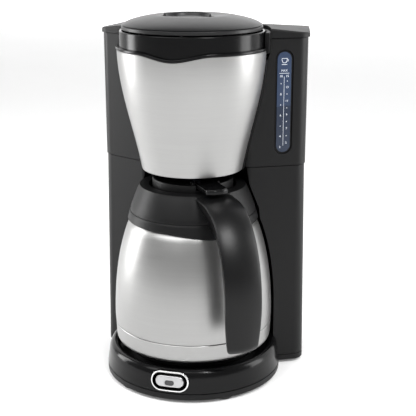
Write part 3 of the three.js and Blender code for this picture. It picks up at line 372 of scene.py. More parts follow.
def coil(radius, wire, low, high, turns, steps=20):
    """A round wire wound into a spring."""
    rows = []
    total = turns * steps
    for i in range(total + 1):
        angle = TURN * i / steps
        out = Vector((math.cos(angle), math.sin(angle), 0))
        centre = out * radius + Vector((0, 0, low + wire + (high - low - 2 * wire) * i / total))
        rows.append([
            centre + out * (wire * math.cos(a)) + Vector((0, 0, wire * math.sin(a)))
            for a in (TURN * k / 8 for k in range(8))])
    return skin(rows)


def add_piece(name, form, material, body, replaces=(), crisp=32):
    """Puts a form in place as a finished piece, in metres."""
    mesh = form.mesh
    mesh.transform(Matrix.Scale(MM, 4) @ Matrix.Translation((0, AXIS_Y, 0)))
    mesh.materials.clear()
    mesh.materials.append(material)
    mesh.polygons.foreach_set("material_index", [0] * len(mesh.polygons))
    mesh.shade_smooth()
    mesh.set_sharp_from_angle(angle=math.radians(crisp))
    mesh.name = name
    piece = put_in_scene(name, mesh)
    weighted = piece.modifiers.new("normals", "WEIGHTED_NORMAL")
    weighted.keep_sharp = True
    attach(piece, body)
    if replaces:
        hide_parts(*replaces)
    return piece


# ---- finishes ----
class Wire:
    """A shader socket that can be used in sums."""

    def __init__(self, finish, socket):
        self.finish, self.socket = finish, socket

    def _sum(self, operation, *values):
        return self.finish.node("ShaderNodeMath", {"operation": operation}, dict(enumerate(values)))

    def __add__(self, other):
        return self._sum("ADD", self, other)

    def __sub__(self, other):
        return self._sum("SUBTRACT", self, other)

    def __rsub__(self, other):
        return self._sum("SUBTRACT", other, self)

    def __mul__(self, other):
        return self._sum("MULTIPLY", self, other)

    __radd__, __rmul__ = __add__, __mul__

    def __lt__(self, other):
        return self._sum("LESS_THAN", self, other)


class Finish:
    """A procedural material."""

    def __init__(self, name, **constants):
        self.material = bpy.data.materials.new(name)
        self.material.use_nodes = True
        self.tree = self.material.node_tree
        self.shader = self.tree.nodes["Principled BSDF"]
        for socket, value in constants.items():
            self.shader.inputs[socket.replace("_", " ")].default_value = value
        self.place = self.node("ShaderNodeTexCoord", output="Object")

    def node(self, kind, settings=None, inputs=None, output=0):
        node = self.tree.nodes.new(kind)
        for key, value in (settings or {}).items():
            setattr(node, key, value)
        for key, value in (inputs or {}).items():
            if isinstance(value, Wire):
                self.tree.links.new(value.socket, node.inputs[key])
            else:
                node.inputs[key].default_value = value
        return Wire(self, node.outputs[output])

    def feed(self, socket, wire):
        self.tree.links.new(wire.socket, self.shader.inputs[socket])

    def noise(self, scale, detail=2.0, roughness=0.5, stretch=None):
        place = self.place
        if stretch:
            place = self.node("ShaderNodeMapping", None, {"Vector": place, "Scale": stretch})
        return self.node(
            "ShaderNodeTexNoise", None,
            {"Vector": place, "Scale": scale, "Detail": detail, "Roughness": roughness}, "Fac")

    def range(self, wire, low, high, to_low, to_high):
        return self.node(
            "ShaderNodeMapRange", None,
            {"Value": wire, "From Min": low, "From Max": high, "To Min": to_low, "To Max": to_high})

    def blend(self, mask, first, second):
        """A colour between two, by a mask from 0 to 1."""
        return self.node(
            "ShaderNodeMix", {"data_type": "RGBA"}, {0: mask, 6: first, 7: second}, 2)

    def relief(self, height, distance):
        bump = self.node("ShaderNodeBump", None, {"Height": height, "Distance": distance, "Strength": 1.0})
        self.feed("Normal", bump)


def opaque(colour, gain):
    """A colour made lighter or darker, with its alpha."""
    return (*(min(c * gain, 1) for c in colour), 1)


def moulded(name, colour, roughness, grain, specular=0.5, texture=900):
    """Moulded plastic: fine spark-eroded texture, slow colour drift and a little polish from handling."""
    finish = Finish(name, Specular_IOR_Level=specular, IOR=1.46)
    slow = finish.noise(16, 3, 0.6)
    fine = finish.noise(texture, 2, 0.6)
    finish.feed("Base Color", finish.blend(slow, opaque(colour, 0.86), opaque(colour, 1.22)))
    handled = finish.range(slow, 0.3, 0.7, roughness - 0.035, roughness + 0.035)
    finish.feed("Roughness", handled + (fine - 0.5) * 0.08)
    finish.relief(fine, grain * MM)
    return finish.material


def brushed(name, colour, roughness, direction=(26, 26, 2600), depth=0.003):
    """Metal with fine parallel brushing."""
    finish = Finish(name, Metallic=1.0)
    long = finish.noise(1.0, 2, 0.55, direction)
    broad = finish.noise(1.0, 2, 0.5, (9, 9, 420))
    cloud = finish.noise(14, 2, 0.5)
    lines = long * 0.65 + broad * 0.35
    tone = finish.range(lines, 0.3, 0.7, 0.0, 1.0)
    finish.feed("Base Color", finish.blend(tone, opaque(colour, 0.97), opaque(colour, 1.03)))
    rough = finish.range(lines, 0.25, 0.75, roughness - 0.03, roughness + 0.03)
    finish.feed("Roughness", rough + (cloud - 0.5) * 0.04)
    finish.relief(long, depth * MM)
    return finish.material


WATER_LEVEL = 257.2  # of the water behind the level window


def window_finish(colour):
    """Tinted clear plastic over water: lighter above the water's level."""
    finish = Finish(
        "window_blue", Specular_IOR_Level=0.3, Coat_Weight=0.15, Coat_Roughness=0.05, IOR=1.49)
    height = finish.node("ShaderNodeSeparateXYZ", None, {"Vector": finish.place}, 2)
    ripple = finish.noise(60, 2, 0.5) * 0.004
    filled = (height + ripple) < WATER_LEVEL * MM
    cloud = finish.range(finish.noise(30, 2, 0.5), 0.3, 0.7, 0.0, 1.0)
    above = finish.blend(cloud, opaque(colour, 1.1), opaque(colour, 1.4))
    below = finish.blend(cloud, opaque(colour, 0.62), opaque(colour, 0.8))
    finish.feed("Base Color", finish.blend(filled, above, below))
    finish.feed("Roughness", finish.range(cloud, 0, 1, 0.1, 0.16))
    finish.relief(finish.noise(220, 1, 0.5), 0.01 * MM)
    return finish.material


def cast_metal(name, colour, roughness):
    """Plain metal with a faint grain."""
    finish = Finish(name, Metallic=1.0)
    fine = finish.noise(700, 2, 0.6)
    slow = finish.noise(40, 2, 0.5)
    finish.feed("Base Color", finish.blend(slow, opaque(colour, 0.92), opaque(colour, 1.06)))
    finish.feed("Roughness", finish.range(slow, 0.3, 0.7, roughness - 0.04, roughness + 0.05))
    finish.relief(fine, 0.01 * MM)
    return finish.material


def soft(name, colour, roughness, grain, texture, **constants):
    """Rubber, silicone, print and other finishes with an even grain."""
    finish = Finish(name, **constants)
    fine = finish.noise(texture, 3, 0.6)
    slow = finish.noise(50, 2, 0.5)
    finish.feed("Base Color", finish.blend(slow, opaque(colour, 0.88), opaque(colour, 1.1)))
    finish.feed("Roughness", finish.range(fine, 0.3, 0.7, roughness - 0.06, roughness + 0.06))
    finish.relief(fine, grain * MM)
    return finish.material


FINISHES = {}


def finish_of(slot):
    """The material for a slot of the record, made once."""
    if slot in FINISHES:
        return FINISHES[slot]
    tint = colours()
    makers = {
        "satin_black": lambda: moulded("satin_black", tint.satin_black, 0.44, 0.012, 0.24),
        "gloss_black": lambda: moulded("gloss_black", tint.gloss_black, 0.19, 0.002, 0.22, 300),
        "lid_black": lambda: moulded("lid_black", tint.lid_black, 0.36, 0.006, 0.4),
        "handle_black": lambda: moulded("handle_black", tint.handle_black, 0.34, 0.008, 0.27),
        "inner_plastic": lambda: moulded("inner_plastic", tint.inner_plastic, 0.5, 0.012),
        "brushed_steel": lambda: brushed("brushed_steel", tint.brushed_steel, 0.36),
        "liner_steel": lambda: brushed("liner_steel", (0.5, 0.51, 0.52), 0.26, (30, 30, 700), 0.003),
        "bezel_metal": lambda: cast_metal("bezel_metal", tint.bezel_metal, 0.17),
        "button_metal": lambda: brushed("button_metal", tint.button_metal, 0.3, (20, 20, 2400), 0.002),
        "smoked_lens": lambda: soft(
            "smoked_lens", (0.012, 0.012, 0.014), 0.14, 0.002, 300, Coat_Weight=0.6),
        "window_blue": lambda: window_finish(tint.window_blue),
        "print_white": lambda: soft("print_white", tint.print_white, 0.4, 0.002, 900),
        "rubber": lambda: soft("rubber", (0.012, 0.012, 0.012), 0.75, 0.05, 700),
        "silicone": lambda: soft("silicone", (0.62, 0.6, 0.55), 0.45, 0.01, 400),
        "aluminium": lambda: brushed("aluminium", (0.5, 0.51, 0.52), 0.36, (500, 500, 500), 0.01),
        "fixing_steel": lambda: cast_metal("fixing_steel", (0.45, 0.46, 0.47), 0.32),
        "ceramic_white": lambda: soft("ceramic_white", (0.62, 0.6, 0.54), 0.5, 0.02, 500),
    }
    FINISHES[slot] = makers[slot]()
    return FINISHES[slot]


def place_piece(name, form, slot, body="machine", replaces=None, look=None, crisp=32):
    """A finished piece that stands for the CAD node of the same name, unless replaces says otherwise."""
    nodes = (name,) if replaces is None else replaces
    shown = name if replaces is not None else name + "_skin"
    return add_piece(shown, form, finish_of(look or slot), body, nodes, crisp)


# ---- shapes that several pieces share ----
WING_INNER = (53.4, 10.0)  # where the swept wing faces begin
WING_SWEEP = math.radians(27)
SIDE_TAPER = math.radians(10)  # the sides draw in towards the rear
COLUMN_REAR = 103.0
COLUMN_INSET = 0.8  # how far the lower column lies inside the tank's outline
COLUMN_FOOT = 3  # height at which the flare is at its widest
FLARE = 3  # how far each side of the column's foot stands out past its top
CORNER_BEYOND_TANK = 1.5  # the wing's corner before it is rounded, past the tank's half width
FRAME_RADIUS = 69.6
CHEEK = 0.8  # how far the housing's rear half stands out past the steel panel
TONGUE_HALF, TONGUE_ROOM = 34, 0.8  # of the brew lid's tongue, and beside it
COLLAR_RADIUS, COLLAR_FOOT = 58.7, 160.2
FRONT_RADIUS = 81  # of the base's front, where the switch is
SWITCH_HEIGHT, SWITCH_LEAN = 20.6, math.radians(9)
HINGE_Y, HINGE_Z = 95, 323
BARREL_RADIUS = 3.6
RISER_X, RISER_Y = -44, 86
HOSE_X = 44
INLET_Z = 312
LEVER_PIN_Y, LEVER_PIN_Z = -31, 190.4
GLAND_X, GLAND_Z = 50, 38
FAR = 150  # past every piece
TO_SIDES = (-1, 1)


def hinge_bar(radius, start, end):
    """A bar on the brew lid's hinge line."""
    return rod(radius, (start, HINGE_Y, HINGE_Z), (end, HINGE_Y, HINGE_Z))


def inlet_bar(radius, near, far, z=INLET_Z):
    """A bar along the inlet pipe, between two shares of the way from the middle to the riser."""
    return rod(radius, (near * RISER_X, near * RISER_Y, z), (far * RISER_X, far * RISER_Y, z))


def tongue_room(front, rear, low):
    """Room for the brew lid's tongue, open upwards."""
    half = TONGUE_HALF + TONGUE_ROOM
    return block(-half, half, front, rear, low, 340)


def rear_half():
    """Room behind the steel panel."""
    return block(-FAR, FAR, GAP, FAR, 100, 400)


def middle_of(node):
    """Middle of a CAD node in plan, and its top."""
    low, high = limits(node)
    return (low.x + high.x) / 2, (low.y + high.y) / 2, high.z


def wing_face(x, grow):
    """How far back the wing's face is at a distance from the middle."""
    return WING_INNER[1] + (x - WING_INNER[0]) * math.tan(WING_SWEEP) - grow / math.cos(WING_SWEEP)


def column_outline(grow, steps=9):
    """Plan of the column: swept wing faces in front, sides that draw in, rounded rear corners."""
    taper = math.tan(SIDE_TAPER)
    spread = (1 / math.cos(SIDE_TAPER) + taper / math.cos(WING_SWEEP)) / (1 + taper * math.tan(WING_SWEEP))
    side = size("column_half_width") + CORNER_BEYOND_TANK + grow * spread
    side_y = wing_face(side, grow)
    rear = COLUMN_REAR + grow
    knee = WING_INNER[0] + grow * math.tan(WING_SWEEP / 2)
    right = [
        (knee, WING_INNER[1] - grow, 0),
        (side, side_y, 13 + grow),
        (side - (rear - side_y) * taper, rear, 16 + grow),
    ]
    left = [(-x, y, radius) for x, y, radius in reversed(right)]
    return eased([*right, *left], steps, True)


def column_form(grow, low, high, top_edge=0.0, foot_edge=0.0):
    """The column's outline, raised."""
    return prism(column_outline(grow), low, high, top_edge, foot_edge)


def flared_form(grow, low, high, top_edge=0.0, foot_edge=0.0):
    """The column's prism, a little wider towards its foot."""
    half = size("column_half_width")

    def widen(point):
        drop = (COLUMN_TOP - point.z) / (COLUMN_TOP - COLUMN_FOOT)
        return Vector((point.x * (1 + FLARE * drop / half), point.y, point.z))

    return column_form(grow, low, high, top_edge, foot_edge).shaped(widen)


def panel_profile(steps=26):
    """Outside of the steel panel, a waisted cup."""
    foot, top = PANEL_LOW.z, PANEL_HIGH.z
    rise = top - foot
    foot_radius, top_radius = size("panel_foot_radius"), size("panel_top_radius")
    return bent(
        (foot_radius, foot), (foot_radius + 6.1, foot + 0.33 * rise),
        (top_radius - 0.9, foot + 0.65 * rise), (top_radius, top), steps)


def jug_profile(steps=26):
    """Outside of the jug's wall, from its widest height to its shoulder."""
    wide, narrow = size("jug_radius"), size("jug_shoulder_radius")
    return bent((wide, 58), (wide, 94.8), (wide - 5, 126.1), (narrow, 150), steps)


def bay_form(clear, top):
    """Room that the jug stands in."""
    body = [(size("jug_radius") + clear, 0), *grown(jug_profile(12), clear)]
    collar = grown([(COLLAR_RADIUS, COLLAR_FOOT), (49, 184.5)], clear)
    return turned([(0, 0), *body, *collar, (size("panel_foot_radius") + clear, top), (0, top)])


def cup_form(clear, top):
    """Room that the brew housing stands in."""
    start = COLUMN_TOP - 1
    skin_out = grown(panel_profile(14), CHEEK + clear)
    step = PANEL_HIGH.z - 2.8
    wide = FRAME_RADIUS + clear
    below = [(r, z) for r, z in skin_out if z < step]
    foot = size("panel_foot_radius") + CHEEK + clear
    return turned([(0, start), (foot, start), *below, (wide, step), (wide, top), (0, top)])


def dip(x):
    """How far the panel's upper edge dips at a distance x from the middle."""
    return size("panel_dip") * swell(1 - abs(x) / 34)


def front_sag(x):
    """How far the base's round front falls back at a distance from the middle."""
    return FRONT_RADIUS - math.sqrt(FRONT_RADIUS ** 2 - x ** 2)


def switch_place():
    """Middle of the switch on the base's front, leaning back with it."""
    lean = Matrix.Rotation(math.pi / 2 - SWITCH_LEAN, 4, "X")
    return Matrix.Translation((0, -FRONT_RADIUS - 0.6, SWITCH_HEIGHT)) @ lean


def switch_opening():
    """The slot in the base that the switch sits in."""
    form = prism(stadium(36.1, 19.3), -12, 9)
    wrapped = form.shaped(lambda p: Vector((p.x, p.y, p.z - front_sag(p.x))))
    return wrapped.moved(switch_place())


def sliced(form, spacing, reach):
    """Cuts a form upright at even distances, so that it can bend."""
    bm = bmesh.new()
    bm.from_mesh(form.mesh)
    x = -reach
    while x <= reach:
        geom = [*bm.verts, *bm.edges, *bm.faces]
        bmesh.ops.bisect_plane(bm, geom=geom, plane_co=(x, 0, 0), plane_no=(1, 0, 0), dist=1e-5)
        x += spacing
    return Form(bm)


# ---- operators ----
class BuildOperator:
    """What the builders share: each has a build method."""

    bl_options = {"REGISTER", "UNDO"}

    def execute(self, context):
        self.build()
        return {"FINISHED"}


class BuildBase(BuildOperator, bpy.types.Operator):
    """Builds the bottom plate, its feet, the round base and the plate that the jug rests on."""

    bl_idname = "coffee_maker.build_base"
    bl_label = "Base"

    def footprint(self, grow, low, high, edge=0.0):
        """The round base and the column's foot in one form."""
        radius = size("base_radius") + grow
        profile = eased([(0, low), (radius, low, edge), (radius, high), (0, high)], 3)
        return turned(profile) + flared_form(grow - COLUMN_INSET, low, high, 0, edge)

    def build(self):
        plate = self.footprint(0, 3, PLATE_TOP, 1.1) - self.footprint(-WALL, 5.4, PLATE_TOP + 1)
        for i in range(1, 5):
            x, y, _ = middle_of(f"plate_screw_{i}")
            plate = plate - disc(4, 0, 4.6, x, y) - disc(1.9, 0, PLATE_TOP, x, y)
        place_piece("bottom_plate", plate, "inner_plastic", look="satin_black")
        for i in range(1, 5):
            x, y, top = middle_of(f"foot_{i}")
            profile = eased([(0, 0), (7, 0, 0.8), (8, 1.2, 0.5), (8, top), (0, top)], 3)
            place_piece(f"foot_{i}", turned(profile, SMALL, (x, y)), "rubber")

        crest_z, foot = size("base_height"), PLATE_TOP + GAP
        crest = bent((81.5, 19), (80.9, crest_z - 4), (79, crest_z), (75.5, crest_z), 14)
        fall = bent((75.5, crest_z), (73, crest_z), (71.4, 29), (70.5, 26), 6)
        wide = size("base_radius")
        outside = [(wide - 0.5, foot), (wide, foot + 0.5), *crest, *fall[1:], (0, 26)]
        inside = [(0, 23.6), (68.5, 23.6), (74.3, 27.1), (79.1, 19), (wide - WALL, foot)]
        column = flared_form(-GAP, 0, COLUMN_TOP) - bay_form(2.6, COLUMN_TOP + 1)
        shell = ring([*outside, *inside]) - column - switch_opening()
        place_piece("base_shell", shell, "gloss_black")

        rest_z = REST_HIGH.z
        rest = turned(eased([
            (0, 26.4), (61, 26.4), (62, rest_z - 1.5), (62, rest_z, 1.2), (57.6, rest_z, 0.5),
            (56.2, rest_z - 0.8, 0.5), (40, rest_z - 0.8), (39, rest_z - 1.4), (37.6, rest_z - 1.4),
            (36.6, rest_z - 0.8), (0, rest_z - 0.8)], 3))
        place_piece("jug_rest_plate", rest, "satin_black")


class BuildSwitch(BuildOperator, bpy.types.Operator):
    """Builds the switch's bezel, its button and the button's lens."""

    bl_idname = "coffee_maker.build_switch"
    bl_label = "Switch"

    def bent_prism(self, outline, behind, before, edge, reach, lift=0.0):
        """A prism on the base's front, bent round it and slightly crowned."""
        form = sliced(prism(outline, -behind, before, edge), 1.5, reach)
        form.moved(Matrix.Translation((0, lift, 0)))

        def wrapped(point):
            crown = 0.25 * (point.y / 9) ** 2 if point.z > 0 else 0
            return Vector((point.x, point.y, point.z - 0.85 * front_sag(point.x) - crown))

        return form.shaped(wrapped).moved(switch_place())

    def build(self):
        bezel = self.bent_prism(stadium(35.3, 18.5, 14), 4, 1.4, 0.55, 17)
        hole = self.bent_prism(stadium(32.7, 15.9, 14), 9, 6, 0, 15)
        place_piece("switch_bezel", bezel - hole, "bezel_metal", crisp=50)
        button = self.bent_prism(stadium(26.4, 10.4, 14), 7, 1.5, 0.9, 13)
        recess = self.bent_prism(stadium(9, 4.8, 10), -0.4, 6, 0, 4.2, -1.2)
        place_piece("power_button", button - recess, "button_metal", "button", crisp=50)
        lens = self.bent_prism(stadium(8.4, 4.2, 10), -0.4, 1.35, 0.3, 4, -1.2)
        place_piece("button_lens", lens, "smoked_lens", "button", crisp=50)


class BuildColumn(BuildOperator, bpy.types.Operator):
    """Builds the column behind the jug, its rear cover and the lead's gland."""

    bl_idname = "coffee_maker.build_column"
    bl_label = "Column"

    def gland_bar(self, radius, front, rear):
        """A bar through the rear cover where the lead comes out."""
        return rod(radius, (GLAND_X, front, GLAND_Z), (GLAND_X, rear, GLAND_Z))

    def build(self):
        foot = PLATE_TOP + GAP
        outside = flared_form(-COLUMN_INSET, foot, COLUMN_TOP, 0.5, 0.4) - bay_form(3, COLUMN_TOP + 1)
        inside = flared_form(-COLUMN_INSET - WALL, foot - 1, COLUMN_TOP - WALL)
        inside = inside - bay_form(3 + WALL, COLUMN_TOP + 1)
        door = block(-66, 66, 95, 108, 22, 186)
        shell = outside - inside - door
        for x in (RISER_X, HOSE_X):
            shell = shell - block(x - 7, x + 7, 45, 84, 0, 24.5)
            shell = shell - disc(6.6, COLUMN_TOP - 6, COLUMN_TOP + 1, x, RISER_Y)
        place_piece("column_shell", shell, "satin_black", crisp=28)

        half, tall = 65.6, 81.6
        outline = eased([(-half, -tall, 3), (half, -tall, 3), (half, tall, 3), (-half, tall, 3)], 5, True)
        cover = prism(outline, 0, WALL, 0.5)
        for row in range(6):
            slot = prism(stadium(48, 3, 6), -2, 6)
            cover = cover - slot.moved(Matrix.Translation((0, 63.5 - row * 7, 0)))
        stand = Matrix.Rotation(math.pi / 2, 4, "X")
        turn = Matrix.Rotation(math.pi, 4, "Z")
        place = Matrix.Translation((0, COLUMN_REAR - COLUMN_INSET - WALL, 104)) @ turn @ stand
        place_piece("rear_cover", cover.moved(place) - self.gland_bar(6.9, 90, 110), "satin_black")
        gland = self.gland_bar(6.5, 95, 102.6) - self.gland_bar(3.6, 90, 110)
        place_piece("cord_gland", gland, "rubber")


class BuildTank(BuildOperator, bpy.types.Operator):
    """Builds the water tank, its level window and the scale printed on it."""

    bl_idname = "coffee_maker.build_tank"
    bl_label = "Water tank"
    along = 29.5  # distance of the window's middle along the wing's face
    low, high = 212.5, 304.5  # the window's ends
    middle = (low + high) / 2
    column_x = 2.9  # of the two columns of numbers, from the window's middle
    left_numbers = {"10": 282.6, "8": 266.2, "6": 246.8, "4": 227.4, "2": 217.4}
    right_numbers = {"15": 282.6, "13": 272.6, "11": 260, "9": 247.3, "7": 234.5, "5": 221.2}
    left_dots = (275.9, 256.5, 237)
    right_dots = (278.2, 266.4, 253.6, 241, 227.8)
    print_height = 0.06

    def face_place(self):
        """Where the window's middle is, with Z standing out of the wing's face."""
        x = WING_INNER[0] + self.along * math.cos(WING_SWEEP)
        y = WING_INNER[1] + self.along * math.sin(WING_SWEEP)
        turn = Matrix.Rotation(WING_SWEEP, 4, "Z") @ Matrix.Rotation(math.pi / 2, 4, "X")
        return Matrix.Translation((x, y, self.middle)) @ turn

    def on_face(self, form):
        return form.moved(self.face_place())

    def build(self):
        foot, top = TANK_LOW.z, TANK_HIGH.z
        outside = column_form(0, foot, top, 0.4, 0.5) - cup_form(GAP, top + 1)
        inside = column_form(-WALL, foot + WALL, top + 1) - cup_form(GAP + WALL, top + 2)
        width, height = size("window_width"), self.high - self.low
        mouth = prism(stadium(width + 3, height + 3), -1.6, 0.02)
        splay = prism(stadium(width + 3, height + 3), -0.9, 0.4, flare=(1.1, 1.016))
        opening = prism(stadium(width - 2, height - 2), -8, 6)
        tank = outside - inside
        for cutter in (mouth, splay, opening):
            tank = tank - self.on_face(cutter)
        for x, radius in ((RISER_X, 5.8), (HOSE_X, 6.8)):
            tank = tank - disc(radius, foot - 1, foot + WALL + 1, x, RISER_Y)
        place_piece("water_tank", tank - inlet_bar(4.6, 0.3, 0.9), "satin_black", crisp=28)
        window = self.on_face(prism(stadium(width, height, 16), -1.3, -0.25, 0.3))
        place_piece("level_window", window, "window_blue")
        self.print_scale()

    def text(self, words, across, z, height):
        """Raised words on the window's face, as a mesh."""
        curve = bpy.data.curves.new("words", "FONT")
        curve.body, curve.size, curve.align_x, curve.align_y = words, height / 0.7, "CENTER", "CENTER"
        curve.extrude, curve.resolution_u = 0.03, 3
        holder = put_in_scene("words", curve)
        depsgraph = bpy.context.evaluated_depsgraph_get()
        mesh = bpy.data.meshes.new_from_object(holder.evaluated_get(depsgraph))
        bpy.data.objects.remove(holder)
        mesh.transform(Matrix.Translation((across, z - self.middle, 0)))
        return mesh

    def stroke(self, bm, centre, length, width, turn=0.0):
        """Adds a printed bar to a mesh."""
        made = bmesh.ops.create_cube(bm, size=1)
        spread = Matrix.Rotation(turn, 4, "Z") @ Matrix.Diagonal((length, width, self.print_height, 1))
        bmesh.ops.transform(bm, matrix=Matrix.Translation(centre) @ spread, verts=made["verts"])

    def print_scale(self):
        marks = [self.text(words, -self.column_x, z, 2.0) for words, z in self.left_numbers.items()]
        marks += [self.text(words, self.column_x, z, 2.0) for words, z in self.right_numbers.items()]
        marks.append(self.text("MAX", 0, 287.6, 1.9))
        strokes = [(-self.column_x, z, 0.7, 0.7) for z in self.left_dots]
        strokes += [(self.column_x, z, 0.7, 0.7) for z in self.right_dots]
        strokes += [(0, 285.3, 9.2, 0.32), (0, 250.5, 0.26, 64)]  # under MAX, and between the columns
        strokes += [(0, 293.2, 5.2, 0.4), (0, 298.6, 5.2, 0.36)]  # the saucer, and the cup's brim
        bm = bmesh.new()
        for x, z, length, width in strokes:
            self.stroke(bm, Vector((x, z - self.middle, 0)), length, width)
        cup = [Vector((x, z + 0.05, 0)) for x, z in (
            (-2.5, 2.2), (-2.3, 0.3), (-1.3, -1.5), (1.3, -1.5), (2.3, 0.3), (2.5, 2.2))]
        ear = [Vector((2.6 + 0.9 * math.cos(a), 0.7 + math.sin(a), 0)) for a in (
            math.radians(-80 + 32 * k) for k in range(6))]
        for line, width in ((cup, 0.2), (ear, 0.17)):
            for start, end in zip(line, line[1:]):
                way = end - start
                centre = (start + end) / 2 + Vector((0, 296.2 - self.middle, 0))
                self.stroke(bm, centre, way.length + width, 2 * width, math.atan2(way.y, way.x))
        for mesh in marks:
            bm.from_mesh(mesh)
        made = Form(bm).moved(self.face_place() @ Matrix.Translation((0, 0, -0.2)))
        place_piece("level_scale", made, "window_blue", replaces=(), look="print_white")


class BuildCap(BuildOperator, bpy.types.Operator):
    """Builds the cap on the tank, with the hinge's knuckles."""

    bl_idname = "coffee_maker.build_cap"
    bl_label = "Top cap"

    ridge, ridge_half, ridge_rear = 326.4, 62, 50  # the flat part of the roof
    side_fall, rear_fall = 5, 6.3  # how far the roof falls from there to its edges

    def roof_drop(self, x, y):
        """How far the roof lies below its ridge."""
        sideways = (abs(x) - self.ridge_half) * self.side_fall / (size("column_half_width") - self.ridge_half)
        backwards = (y - self.ridge_rear) * self.rear_fall / (COLUMN_REAR - self.ridge_rear)
        return max(0, sideways, backwards)

    def roofed_block(self, low):
        """The cap's outline, raised to a roof that falls to its sides and to its rear."""
        bm, _ = raised(column_outline(1.7, 10), low, self.ridge)
        side, rear = self.ridge_half, self.ridge_rear
        side_slope = self.side_fall / (size("column_half_width") - side)
        meet = self.rear_fall / (COLUMN_REAR - rear) / side_slope  # how fast the two slopes' line runs out
        for place, normal in (
                ((side, 0, 0), (1, 0, 0)), ((-side, 0, 0), (1, 0, 0)), ((0, rear, 0), (0, 1, 0)),
                ((side, rear, 0), (1, -meet, 0)), ((-side, rear, 0), (-1, -meet, 0))):
            geom = [*bm.verts, *bm.edges, *bm.faces]
            bmesh.ops.bisect_plane(bm, geom=geom, plane_co=place, plane_no=normal, dist=1e-5)
        for vertex in bm.verts:
            if vertex.co.z > low + 1:
                vertex.co.z = self.ridge - self.roof_drop(vertex.co.x, vertex.co.y)
        bm.normal_update()
        rim = [
            e for e in bm.edges
            if len(e.link_faces) == 2 and all(v.co.z > low + 1 for v in e.verts)
            and min(abs(f.normal.z) for f in e.link_faces) < 0.5 < max(f.normal.z for f in e.link_faces)]
        rounded(bm, rim, 1.5, 4)
        return Form(bm)

    def build(self):
        cap = self.roofed_block(TANK_HIGH.z + GAP)
        cap = cap - disc(FRAME_RADIUS + GAP, 300, 340, steps=ROUND) - tongue_room(40, 115, 318.6)
        cap = cap - block(-26, 26, 75, 88, 300, 340, 3)
        for side in TO_SIDES:
            x0, x1 = sorted((side * 21.4, side * 32.4))
            cap = cap + hinge_bar(BARREL_RADIUS, x0, x1)
            cap = cap + block(x0 + 0.02, x1 - 0.02, HINGE_Y - 3.5, HINGE_Y + 3.5, 318.1, HINGE_Z)
        place_piece("top_cap", cap - hinge_bar(2, -33.5, 33.5), "satin_black", crisp=30)
        place_piece("hinge_pin", hinge_bar(1.6, -31, 31), "fixing_steel")


class BuildLid(BuildOperator, bpy.types.Operator):
    """Builds the domed brew lid with its finger grip and hinge."""

    bl_idname = "coffee_maker.build_lid"
    bl_label = "Brew lid"

    grip_forward, grip_radius = 17, 20.5  # where the arch's middle lies, and how wide it is
    grip_height = 2.7

    def grip_relief(self, point):
        """Raised arch with a crease on either side, by which a finger lifts the lid."""
        x, y = point.x, point.y + self.grip_forward
        sunk = self.grip_height * swell((36 - point.xy.length) / 22)
        off = math.hypot(x, y) - self.grip_radius
        along = swell((y + 1.5) / 3)
        ridge = math.exp(-(off / 1.15) ** 2) * along
        crease = (math.exp(-((off - 2.3) / 0.7) ** 2) + math.exp(-((off + 2.3) / 0.7) ** 2)) * along
        end = math.exp(-(((abs(x) - self.grip_radius) / 1.5) ** 2 + ((y + 1.2) / 1.3) ** 2))
        z = point.z - sunk + self.grip_height * ridge - crease - 1.2 * end
        return Vector((x, y - self.grip_forward, min(z, LID_HIGH.z)))

    def build(self):
        wide, top = size("lid_radius"), size("lid_height")
        handles = ((wide - 8, 336), (26, top))
        dome = bent((wide - 0.5, 329.6), *handles, (0, top), 110)
        rim = eased([
            (wide - 0.5, 329.6), (wide - 1.1, 329.1), (wide, 328.5, 0.5), (wide, 325.4, 0.8),
            (wide - 2.2, 325.4)], 3)
        under = bent((wide - 2.2, 327.4), (wide - 10, 332), (25, top - 5), (0, top - 5), 16)
        shell = turned([*reversed(dome), *rim[1:], *under], 200)
        above = top - 4
        shell = shell.shaped(lambda p: self.grip_relief(p) if p.xy.length < 40 and p.z > above else p)
        half = TONGUE_HALF
        tongue = block(-half, half, 40, 90.4, 321.4, 325, 0.8) - disc(65.4, 300, 324.8, steps=ROUND)
        riser = block(-half, half, 50, 64, 324.6, 328.4, 0.8) - disc(60.8, 300, 340, steps=ROUND)
        arm = block(-21, 21, 89, 95, 321.4, 325)
        lid = shell + tongue + riser + arm + hinge_bar(BARREL_RADIUS, -21, 21) - hinge_bar(2, -40, 40)
        place_piece("lid", lid, "lid_black", "lid", crisp=34)


